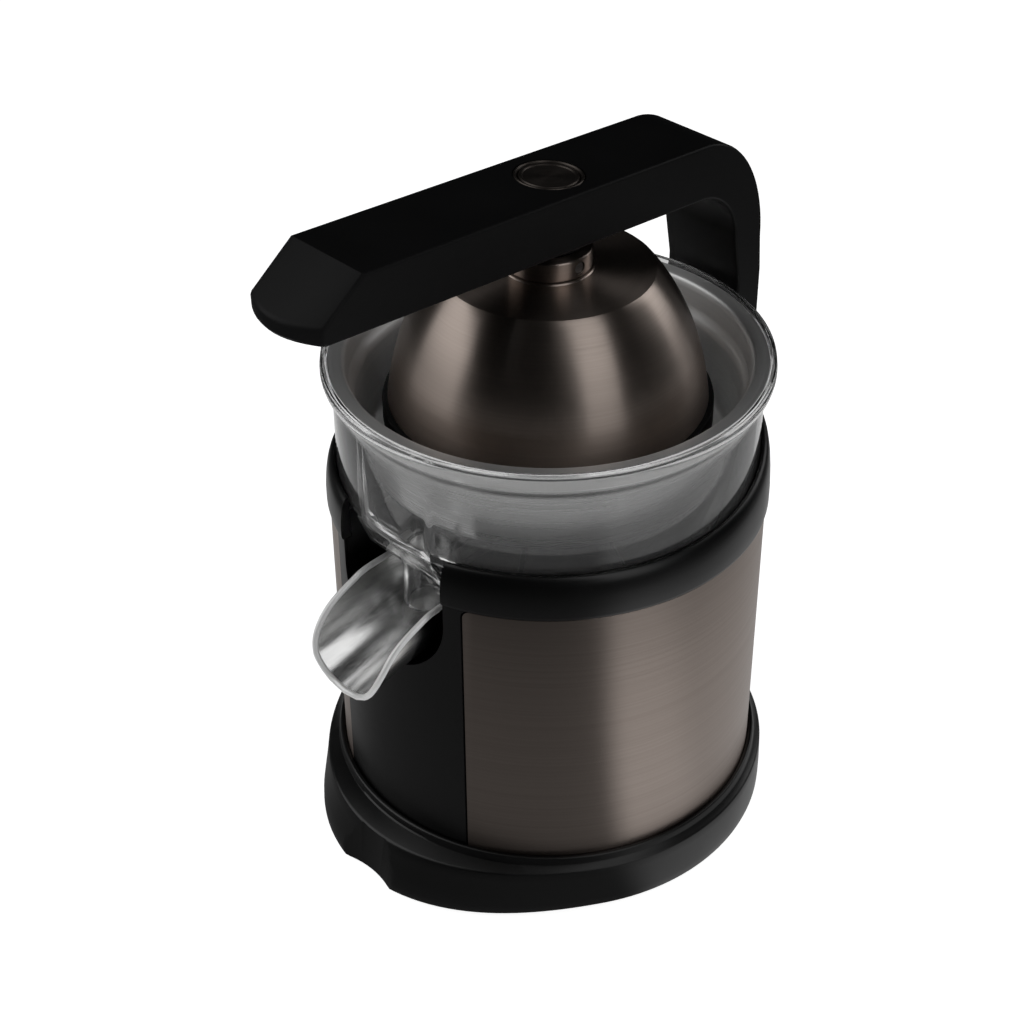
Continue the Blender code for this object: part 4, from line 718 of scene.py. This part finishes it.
PANEL_R = WRAP_R + 0.1
panel = spun(
    [(WRAP_BORE, COLLAR_LOW + 2), (PANEL_R, COLLAR_LOW + 2), (PANEL_R, WRAP_LOW), (WRAP_BORE, WRAP_LOW)], 200
)
panel_block = pulled(panel_shape(PANEL_HALF - 0.3, COLLAR_LOW), -WRAP_R - 9, -WRAP_R / 2, "Y")
panel = carved(panel, panel_block, "INTERSECT")
frame_piece = carved(collar, panel, "UNION")
WINDOW_HALF = span("spout_recess")[1][0] - 1.8
WINDOW_Z = span("spout_recess")[0][2] + 1.8 + WINDOW_HALF
window_shape = [(WINDOW_HALF, COLLAR_TOP + 9)] + arc((0, WINDOW_Z), WINDOW_HALF, 0, -180, 48)
window_shape += [(-WINDOW_HALF, COLLAR_TOP + 9)]
frame_piece = carved(frame_piece, pulled(window_shape, -WRAP_R - 9, -WRAP_R / 2, "Y"))
place("collar_and_panel", frame_piece, "stand", "satin_black", body_black, ["top_frame"], sharp=40)

# %% [markdown]
# ## Juice bowl
# The bowl is clear plastic with a hub for the shaft, a thick rolled rim, and a square chute
# at the front that ends in a short outlet tube over the spout. As it is see-through, it
# needs its real wall thickness: the light bends at both faces.

# %% Spin the bowl
BOWL_FLOOR = DECK + 0.3
floor_top = BOWL_FLOOR + 2.6
inside = BOWL_R - 2.4
hub_bore = 8.0
hub_out = 10.4
hub_top = span("reamer_cone")[0][2] + 8
bowl_outline = [
    (BOWL_R + 1.5, RIM + 5.1), (BOWL_R + 1.9, RIM + 5.4), (WRAP_R - 0.6, RIM + 5.4), (WRAP_R, RIM + 4.9),
    (WRAP_R + 0.2, RIM + 4.0), (WRAP_R + 0.4, RIM + 2.6), (WRAP_R + 0.4, RIM + 1.4),
    (WRAP_R + 0.1, RIM + 0.3), (WRAP_R - 0.6, RIM - 0.1), (BOWL_R + 1.9, RIM - 0.6),
    (BOWL_R + 1.0, RIM - 1.7), (BOWL_R + 0.4, RIM - 3.4), (BOWL_R + 0.1, RIM - 5.6), (BOWL_R, RIM - 8),
    (BOWL_R, BOWL_FLOOR + 2.4), (BOWL_R - 0.5, BOWL_FLOOR + 1.0), (BOWL_R - 1.6, BOWL_FLOOR),
    (hub_bore, BOWL_FLOOR), (hub_bore, hub_top), (hub_out, hub_top), (hub_out, floor_top),
    (inside - 2.4, floor_top), (inside - 0.8, floor_top + 0.8), (inside, floor_top + 2.4),
    (inside, RIM - 2.4), (inside + 0.3, RIM + 0.6), (inside + 0.9, RIM + 2.3), (BOWL_R + 1.4, RIM + 2.6),
]
bowl = spun(bowl_outline, 160)

# %% Add the chute and the outlet, and hollow them
OUTLET_Y = -60 * WRAP_R / 80
OUTLET_LOW = span("juice_bowl")[0][2]


def chute_side(inset, top):
    """Side view of the chute as (y, z) points; its front leans out upwards."""
    front, back = OUTLET_Y - 9.2 + inset, OUTLET_Y + 12 - inset
    return [
        (front, COLLAR_LOW + inset), (front - 5.2, BOWL_FLOOR + 1.2), (front - 5.2, top), (back, top),
        (back, COLLAR_LOW + inset),
    ]


chute = round_edges(pulled(chute_side(0, BOWL_FLOOR + 1.5), -19.5, 19.5), 1.6, 4)
bowl = carved(bowl, chute, "UNION")
bowl = carved(bowl, bar(8.4, OUTLET_LOW, COLLAR_LOW + 1, "Z", (0, OUTLET_Y), 48), "UNION")
bowl = carved(bowl, pulled(chute_side(2, floor_top + 3), -17.5, 17.5))
bowl = carved(bowl, bar(6.9, OUTLET_LOW - 20, BOWL_FLOOR, "Z", (0, OUTLET_Y), 48))
place("clear_bowl", bowl, "stand", "clear_plastic", clear_finish, ["juice_bowl"], sharp=35)

# %% [markdown]
# ## Strainer
# The strainer is deep-drawn from thin sheet: a flange that rests in the bowl's rim, a
# stepped wall and a floor with slots that hold the pips back. One side of the sheet is an
# outline, and the other side is the same outline moved by the sheet's thickness. Below the
# rim its outside, which sits inside the bowl, takes a darker and glossier copy of the steel; the darker
# colour is painted shade.

# %% Draw the strainer and slot its floor
SHEET = 0.9
STRAINER_R = BOWL_R - 9.0
strainer_floor = span("press_cup")[0][2] - 9.6
lip = hub_out + 1.2
upper_face = [
    (BOWL_R + 1.1, RIM + 3.9), (STRAINER_R + 5.6, RIM + 3.9), (STRAINER_R + 4.9, RIM + 3.6),
    (STRAINER_R + 4.4, RIM + 2.8), (STRAINER_R + 4.0, RIM + 1.0), (STRAINER_R + 3.4, RIM - 4.2),
    (STRAINER_R + 3.0, RIM - 5.8), (STRAINER_R + 2.0, RIM - 7.4), (STRAINER_R + 1.2, RIM - 8.8),
    (STRAINER_R + 0.7, RIM - 11.0), (STRAINER_R - 0.8, strainer_floor + 3.4),
    (STRAINER_R - 1.4, strainer_floor + 1.6), (STRAINER_R - 2.8, strainer_floor + 0.3),
    (STRAINER_R - 4.8, strainer_floor), (lip + 10, strainer_floor - 0.8), (lip + 4.5, strainer_floor + 0.1),
    (lip + 1.8, strainer_floor + 1.5), (lip, strainer_floor + 4.5),
]


def moved_sideways(points, distance):
    """The same open outline, moved to the left of its direction of travel."""
    moved = []
    for i, point in enumerate(points):
        ways = [Vector(b) - Vector(a) for a, b in zip(points[max(i - 1, 0):i + 1], points[max(i, 1):i + 2])]
        ways = [way.normalized() for way in ways if way.length > 0]
        across = sum((Vector((-way.y, way.x)) for way in ways), Vector((0, 0))).normalized()
        reach = distance / max(0.5, across.dot(Vector((-ways[0].y, ways[0].x))))
        moved.append((point[0] + across.x * reach, point[1] + across.y * reach))
    return moved


strainer = spun(upper_face + moved_sideways(upper_face, SHEET)[::-1], 160)
slots = bmesh.new()
SLOT_COUNT = 10
for number in range(SLOT_COUNT):
    slot = bmesh.ops.create_cube(slots, size=1.0)["verts"]
    inner, outer = lip + 13, STRAINER_R - 9
    bmesh.ops.scale(slots, verts=slot, vec=mm(2.2, outer - inner, 8))
    bmesh.ops.translate(slots, verts=slot, vec=mm(0, (inner + outer) / 2, strainer_floor))
    bmesh.ops.rotate(slots, verts=slot, matrix=Matrix.Rotation(math.tau * number / SLOT_COUNT, 3, "Z"))
round_edges(slots, 1.0, 3, 60, keep=lambda e: abs(e.verts[0].co.z - e.verts[1].co.z) > 0.004)
strainer = carved(strainer, slots)
basket = place("strainer_basket", strainer, "stand", "steel", strainer_steel, ["strainer"], sharp=35)
# Outward faces below the rim take the darker copy: painted shade where the strainer sits in the bowl.
basket.data.materials.append(strainer_outside_painted_shade)
for face in basket.data.polygons:
    away = Vector((face.center.x, face.center.y - AXIS_Y * 0.001)).normalized()
    outward = face.normal.x * away.x + face.normal.y * away.y
    if outward > 0.25 and face.center.z < (RIM - 5) * 0.001:
        face.material_index = 1

# %% [markdown]
# ## Reamer cone
# The cone that turns in the fruit has eight rounded ribs that fade out towards its foot. It
# is spun smooth, and its flank is then drawn in between the ribs by a wave round the axis.

# %% Spin the cone and wave its flank
cone_low, cone_high = span("reamer_cone")[0][2], span("reamer_cone")[1][2]
CONE_R = span("reamer_cone")[1][0] - 1.5
cavity = hub_out + 3.4
flank = [
    (CONE_R * math.cos(i / 22 * 1.5) ** 0.75, cone_low + 3 + i / 22 * (cone_high - cone_low - 3) * 0.985)
    for i in range(23)
]
cone_outline = [(0, cone_high)] + flank[::-1] + [
    (CONE_R + 0.7, cone_low + 2.3), (CONE_R + 1.5, cone_low + 1.6), (CONE_R + 1.5, cone_low + 0.3),
    (CONE_R + 1.2, cone_low), (cavity, cone_low), (cavity, cone_low + 11.5), (4.3, cone_low + 11.5),
    (4.3, cone_low + 38), (0, cone_low + 38),
]
RIBS = 8
RIB_DEPTH = 2.2
cone = spun(cone_outline, 192)
for vertex in cone.verts:
    radius_mm = math.hypot(vertex.co.x, vertex.co.y) * 1000
    rise = vertex.co.z * 1000 - cone_low - 3
    if rise > 1 and radius_mm > 6 and rise > (CONE_R - radius_mm) * 0.2:
        wave = 0.5 - 0.5 * math.cos(RIBS * math.atan2(vertex.co.y, vertex.co.x))
        depth = RIB_DEPTH * min(1.0, rise / 6) * wave**1.5
        vertex.co.x *= 1 - depth / radius_mm
        vertex.co.y *= 1 - depth / radius_mm
place("reamer", cone, "spindle", "satin_black", satin_black, ["reamer_cone"], sharp=50)

# %% [markdown]
# ## Press dome
# A bronze-tinted metal shell over a black liner whose lip shows below it. The shell was
# turned on a lathe: its flat top meets the flank at a crisp, slightly polished edge.

# %% Spin the dome's shell
cup_low, cup_high = span("press_cup")[0][2], span("press_cup")[1][2]
DOME_R = span("press_cup")[1][0]
dome_low = span("press_dome")[0][2]
dome_top = span("press_dome")[1][2] - 1
SHOULDER = 37.8
NECK_BORE = 10.2


def dome_flank(widest, top, edge, bottom, count):
    """Points down the flank: part of an ellipse from the top edge to the lower edge."""
    tall = (top - cup_low) / math.sqrt(1 - (edge / widest) ** 2)
    heights = [top + (bottom - top) * i / count for i in range(count + 1)]
    return [(widest * math.sqrt(max(0.0, 1 - ((z - cup_low) / tall) ** 2)), z) for z in heights]


outer_flank = dome_flank(DOME_R - 1.3, dome_top - 1, SHOULDER, dome_low, 26)
inner_flank = dome_flank(DOME_R - 2.5, dome_top - 2.2, SHOULDER - 1.2, dome_low, 26)
shell_outline = [(NECK_BORE, dome_top + 1), (NECK_BORE + 5.5, dome_top + 1)]
shell_outline += [(NECK_BORE + 5.9, dome_top + 0.6)]
shell_outline += [(SHOULDER - 1.6, dome_top - 0.25), (SHOULDER - 0.7, dome_top - 0.4)] + outer_flank
shell_outline += inner_flank[::-1] + [(NECK_BORE, dome_top - 0.2)]
shell = spun(shell_outline, 200)
place("dome_shell", shell, "press_head", "bronze_steel", bronze_dome, ["press_dome"], sharp=28)

# %% Spin the liner and the neck ring
liner_out = dome_flank(DOME_R - 2.8, dome_top - 2.5, SHOULDER - 1.5, dome_low - 0.3, 16)
liner_in = dome_flank(DOME_R - 4.4, dome_top - 6, 26, cup_low, 16)
liner_outline = [(0, cup_high), (SHOULDER - 4, cup_high - 0.6)] + liner_out[1:]
liner_outline += [
    (DOME_R - 0.8, dome_low - 0.3), (DOME_R - 0.2, dome_low - 0.6), (DOME_R, dome_low - 1.4),
    (DOME_R, cup_low + 4), (DOME_R - 0.5, cup_low + 1.8), (DOME_R - 1.6, cup_low + 0.6),
    (DOME_R - 3, cup_low),
]
liner_outline += liner_in[::-1] + [(0, dome_top - 5.2)]
liner = spun(liner_outline, 160)
place("dome_liner", liner, "press_head", "satin_black", satin_black, ["press_cup"], sharp=35)

neck_low, neck_high = span("neck_ring")[0][2], span("neck_ring")[1][2]
neck_r = span("neck_ring")[1][0]
PIN_BORE = 2.3
neck_outline = [(NECK_BORE, neck_high), (neck_r, neck_high), (neck_r, neck_low), (NECK_BORE, neck_low)]
neck = carved(spun(rounded(neck_outline, 0.8, 4), 96), bar(PIN_BORE, -30, 30, "X", (0, TILT_Z)))
place("neck_collar", neck, "press_head", "bronze_steel", bronze_dome, ["neck_ring"], sharp=35)

# %% [markdown]
# ## Lever arm
# The arm is a straight box with a wedge nose whose lip bows forward, and a leg that drops
# to the hinge behind the bowl, forked round the hinge's tongue. Its side view is pulled
# across in slices, so that the nose can be bowed slice by slice, and the edges are rounded.

# %% Draw the arm's side view
PITCH = math.radians(3.7)
CLEAR = 51.5
DEPTH = 20.6
LEG_HALF = 6.2


def arm_under(y):
    return RIM + CLEAR - math.tan(PITCH) * y


def arm_over(y):
    return arm_under(y) + DEPTH


front, back = HINGE_Y - LEG_HALF, HINGE_Y + LEG_HALF
nose_corner, bend = NOSE_Y + 23, HINGE_Y - 29
lip_low = arm_under(NOSE_Y)
side_view = [(NOSE_Y + 3, lip_low), (NOSE_Y + 0.9, lip_low + 0.5), (NOSE_Y, lip_low + 1.8)]
side_view += [(NOSE_Y, lip_low + 5.4), (NOSE_Y + 0.5, lip_low + 6.4), (NOSE_Y + 1.4, lip_low + 7.2)]
side_view += [(nose_corner, arm_over(nose_corner)), (bend, arm_over(bend))]
over_bend = arm_over(bend)
drop = over_bend - (RIM + 22)
for i in range(1, 21):
    turn = math.pi / 2 * i / 20
    side_view.append((
        bend + (back - 1.2 - bend) * math.sin(turn), over_bend - drop * (1 - math.cos(turn))
    ))
side_view += [(back, RIM + 8)] + arc((HINGE_Y, HINGE_Z), LEG_HALF, 0, -180, 20)
side_view += [(front, RIM + 6), (front - 3.4, RIM + 25)]
inner_y, inner_z = front - 3.4, RIM + 25
for i in range(1, 15):
    turn = math.pi / 2 * i / 14
    reach = 21 * (1 - math.cos(turn))
    side_view.append((inner_y - reach, inner_z + (arm_under(inner_y - 21) - inner_z) * math.sin(turn)))

# %% Pull it across and bow the nose
SLICES = 12
NOSE_BOW = 6
arm = bmesh.new()
section = arm.faces.new([arm.verts.new(mm(-ARM_HALF, y, z)) for y, z in side_view])
for slice_number in range(SLICES):
    grown = bmesh.ops.extrude_face_region(arm, geom=[section])["geom"]
    if slice_number:
        bmesh.ops.delete(arm, geom=[section], context="FACES_ONLY")
    section = next(item for item in grown if isinstance(item, bmesh.types.BMFace) and len(item.verts) > 4)
    bmesh.ops.translate(arm, verts=section.verts, vec=mm(2 * ARM_HALF / SLICES, 0, 0))
for vertex in arm.verts:
    y_mm = vertex.co.y * 1000
    share = max(0.0, min(1.0, (NOSE_Y + 20 - y_mm) / 15))
    bow = NOSE_BOW * (vertex.co.x * 1000 / ARM_HALF) ** 2
    vertex.co.y += 0.001 * bow * share * share * (3 - 2 * share)
bmesh.ops.recalc_face_normals(arm, faces=arm.faces)
round_edges(arm, 1.1, 3, 50)

# %% Cut the pocket, the fork and the button's well
pocket_front, pocket_back, roof, wide = NOSE_Y + 30, HINGE_Y - 36, 3, ARM_HALF - 3
pocket = [
    (pocket_front, arm_under(pocket_front) - 4), (pocket_front, arm_over(pocket_front) - roof),
    (pocket_back, arm_over(pocket_back) - roof), (pocket_back, arm_under(pocket_back) - 4),
]
arm = carved(arm, pulled(pocket, -wide, wide))
TONGUE_HALF = 8.7
HINGE_BORE = 2.8
fork = [
    (HINGE_Y - 20, HINGE_Z - 20), (HINGE_Y + 20, HINGE_Z - 20),
    (HINGE_Y + 20, RIM + 2), (HINGE_Y - 20, RIM + 2),
]
arm = carved(arm, pulled(fork, -TONGUE_HALF - 0.3, TONGUE_HALF + 0.3))
arm = carved(arm, bar(HINGE_BORE, -ARM_HALF + 2.5, ARM_HALF - 2.5, "X", (HINGE_Y, HINGE_Z)))
BUTTON_R = 10.4
well = bar(BUTTON_R + 2, -9, 9, "Z", segments=96)
seat = Matrix.Translation(mm(0, 0, arm_over(0))) @ Matrix.Rotation(-PITCH, 4, "X")
bmesh.ops.transform(well, matrix=seat, verts=well.verts)
arm = carved(arm, well)
place("arm_shell", arm, "arm", "satin_black", satin_black, ["lever_arm"], sharp=32, even=True)

# %% [markdown]
# ## Release button
# The button on the arm frees the dome for washing. It sits a little low in a thin trim ring,
# square to the sloping top of the arm.

# %% Spin the button and its trim
trim_in, trim_out = BUTTON_R + 0.4, BUTTON_R + 1.7
trim = spun(
    [
        (trim_in, -1.2), (trim_in + 0.2, -0.3), (trim_in + 0.55, 0.05), (trim_out - 0.3, 0.0),
        (trim_out, -0.4), (trim_out, -5), (trim_in, -5),
    ],
    96,
)
bmesh.ops.transform(trim, matrix=seat, verts=trim.verts)
place("button_ring", trim, "arm", "bronze_steel", bronze_button, ["button_trim"])

button = spun(
    [
        (0, -0.6), (BUTTON_R - 1.6, -0.55), (BUTTON_R - 1.2, -0.25), (BUTTON_R - 0.5, -0.2),
        (BUTTON_R - 0.1, -0.5), (BUTTON_R, -1), (BUTTON_R, -3), (3, -3), (3, -15.5), (0, -15.5),
    ],
    96,
)
bmesh.ops.transform(button, matrix=seat, verts=button.verts)
place("button_disc", button, "button", "bronze_steel", bronze_button, ["release_button"])

# %% [markdown]
# ## Spout
# The spout is a trough of steel sheet with a rolled edge. It is a U pulled along its
# length, hollowed, sheared to its slope and trimmed by a curved side view; the roll is a
# round bead that follows the trimmed edge.

# %% Pull and hollow the trough
PIVOT_Y, PIVOT_Z = middle("spout_pin_left")[1] - AXIS_Y, middle("spout_pin_left")[2]
TROUGH_HALF = 18.3
WALL = 1.2
REST_Y = -WRAP_R + 2
SLOPE = math.tan(math.radians(15))
trough_back, trough_tip = span("spout")[1][1] - AXIS_Y, -WRAP_R - 21
trough_mid = WINDOW_Z - WINDOW_HALF + 1.4 + TROUGH_HALF
trough_top = RIM - 52


def u_shape(half, top):
    return [(half, top)] + arc((0, trough_mid), half, 0, -180, 48) + [(-half, top)]


trough = pulled(u_shape(TROUGH_HALF, trough_top), trough_back, trough_tip, "Y")
hollow = pulled(u_shape(TROUGH_HALF - WALL, trough_top + 9), trough_back - WALL, trough_tip - 9, "Y")
for part in (trough, hollow):
    for vertex in part.verts:
        vertex.co.z += SLOPE * (vertex.co.y - REST_Y * 0.001)
trough = carved(trough, hollow)

# %% Trim it along a smooth side view
LEVEL = RIM - 61.8
rim_marks = [
    (trough_back + 9, LEVEL), (-WRAP_R + 10, LEVEL - 1.0), (-WRAP_R, LEVEL - 3.6),
    (-WRAP_R - 10, LEVEL - 8.6), (-WRAP_R - 16, LEVEL - 15), (-WRAP_R - 19.4, LEVEL - 21.5),
    (-WRAP_R - 20, LEVEL - 28),
    (-WRAP_R - 18.6, LEVEL - 50),
]


def smooth_through(marks, parts=8):
    """A curve through the marks, by Catmull-Rom pieces."""
    ends = [marks[0]] + marks + [marks[-1]]
    found = []
    for a, b, c, d in zip(ends, ends[1:], ends[2:], ends[3:]):
        for step in range(parts):
            t = step / parts
            found.append(tuple(
                0.5 * (2 * b[k] + (c[k] - a[k]) * t + (2 * a[k] - 5 * b[k] + 4 * c[k] - d[k]) * t**2
                       + (3 * b[k] - a[k] - 3 * c[k] + d[k]) * t**3) for k in (0, 1)
            ))
    return found + [marks[-1]]


rim_curve = smooth_through(rim_marks)
trim_shape = rim_curve + [
    (-WRAP_R - 60, LEVEL - 50), (-WRAP_R - 60, LEVEL + 60), (trough_back + 9, LEVEL + 60),
]
trough = carved(trough, pulled(trim_shape, -40, 40))
trough = carved(trough, bar(PIN_BORE, -40, 40, "X", (PIVOT_Y, PIVOT_Z)))
place("spout_trough", trough, "spout_trough", "polished_steel", spout_steel, ["spout"], sharp=35)

# %% Roll its edge
BEAD_R = 1.15


def trough_half_at(y, z):
    """Half the trough's width at a place on its side view, or None below its bottom."""
    mid = trough_mid + SLOPE * (y - REST_Y)
    if z >= mid:
        return TROUGH_HALF - WALL / 2
    under = (mid - z) / (TROUGH_HALF - WALL / 2)
    return (TROUGH_HALF - WALL / 2) * math.sqrt(1 - under**2) if under < 1 else None


in_trough = [(y, z) for y, z in rim_curve if y < trough_back - 1 and trough_half_at(y, z) is not None]
right_edge = [(trough_half_at(y, z), y, z) for y, z in in_trough]
lip_y = right_edge[-1][1]
low_z = trough_mid + SLOPE * (lip_y - REST_Y) - TROUGH_HALF + WALL / 2
loop = right_edge + [(0, lip_y + 0.1, low_z)] + [(-x, y, z) for x, y, z in reversed(right_edge)]
bead_curve = bpy.data.curves.new("spout_bead", "CURVE")
bead_curve.dimensions = "3D"
bead_curve.bevel_depth = BEAD_R * 0.001
bead_curve.bevel_resolution = 4
bead_curve.use_fill_caps = True
line = bead_curve.splines.new("POLY")
line.points.add(len(loop) - 1)
for point, at in zip(line.points, loop):
    point.co = (*mm(at[0], at[1] + AXIS_Y, at[2]), 1)
bead = bpy.data.objects.new("spout_bead", bead_curve)
bpy.context.scene.collection.objects.link(bead)
# The bead's white finish is a painted highlight.
bead_curve.materials.append(bead_painted_highlight)
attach(bead, "spout_trough")
print("spout_bead:", len(loop), "points")

# %% [markdown]
# ## Hinge column
# A black column on the back of the housing ends in a tongue, which the arm's leg straddles.

# %% Pull the column, add the tongue and fit it to the wrap
shoulder = HINGE_Z - LEG_HALF - 3
deep = WRAP_R - 10
column_side = [
    (deep, shoulder), (back - 2, shoulder), (back, shoulder - 2), (back, RIM - 80), (back - 1.2, RIM - 90),
    (back - 3, RIM - 100), (back - 5.6, RIM - 109), (back - 9, RIM - 118), (deep, RIM - 124),
]
column = round_edges(pulled(column_side, -ARM_HALF, ARM_HALF), 1.4, 3, 40)
tongue_front = WRAP_R + 1.5
tongue_side = [
    (tongue_front, shoulder - 6), (tongue_front, HINGE_Z + 9), (HINGE_Y - 4.2, HINGE_Z + 11.6),
    (HINGE_Y + 4.2, HINGE_Z + 11.6), (back - 0.4, HINGE_Z + 9), (back - 0.4, shoulder - 6),
]
column = carved(column, pulled(tongue_side, -TONGUE_HALF, TONGUE_HALF), "UNION")
hug = [
    (0, RIM + 20), (COLLAR_R + 0.3, RIM + 20), (COLLAR_R + 0.3, COLLAR_LOW - 0.3),
    (WRAP_R + 0.3, COLLAR_LOW - 0.3), (WRAP_R + 0.3, 20), (0, 20),
]
column = carved(column, spun(hug, 160))
column = carved(column, bar(HINGE_BORE, -30, 30, "X", (HINGE_Y, HINGE_Z)))
place("hinge_column", column, "stand", "satin_black", satin_black, ["hinge_spine"], sharp=35, even=True)

# %% [markdown]
# ## Pieces kept from the CAD model
# Feet, pins, screws, the gear train and the motor already have their true shape. Each takes
# one of the finishes above in its own material slot.

# %% Give the kept pieces their finishes
kept = {
    "foot_1": foot_rubber, "foot_2": foot_rubber, "foot_3": foot_rubber, "foot_4": foot_rubber,
    "cord_gland": foot_rubber, "shaft_seal": foot_rubber, "base_plate": inner_black, "housing": inner_black,
    "gear_plate": inner_black, "start_switch": inner_black, "dome_post": inner_black,
    "spout_recess": body_black, "arm_underside": satin_black,
    "idler_gear": gear_nylon, "output_gear": gear_nylon,
    "motor_pinion": turned_brass, "shaft_bush": turned_brass,
}
for node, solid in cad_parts.items():
    finish = kept.get(node, machined_steel)
    if solid.hide_render:
        continue
    solid.data.materials.clear()
    solid.data.materials.append(finish)
print("finished", len(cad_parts), "CAD nodes")

# %% Gather the bounds of the shown pieces and finish
seen = [[float(v) for v in corner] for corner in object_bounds()]
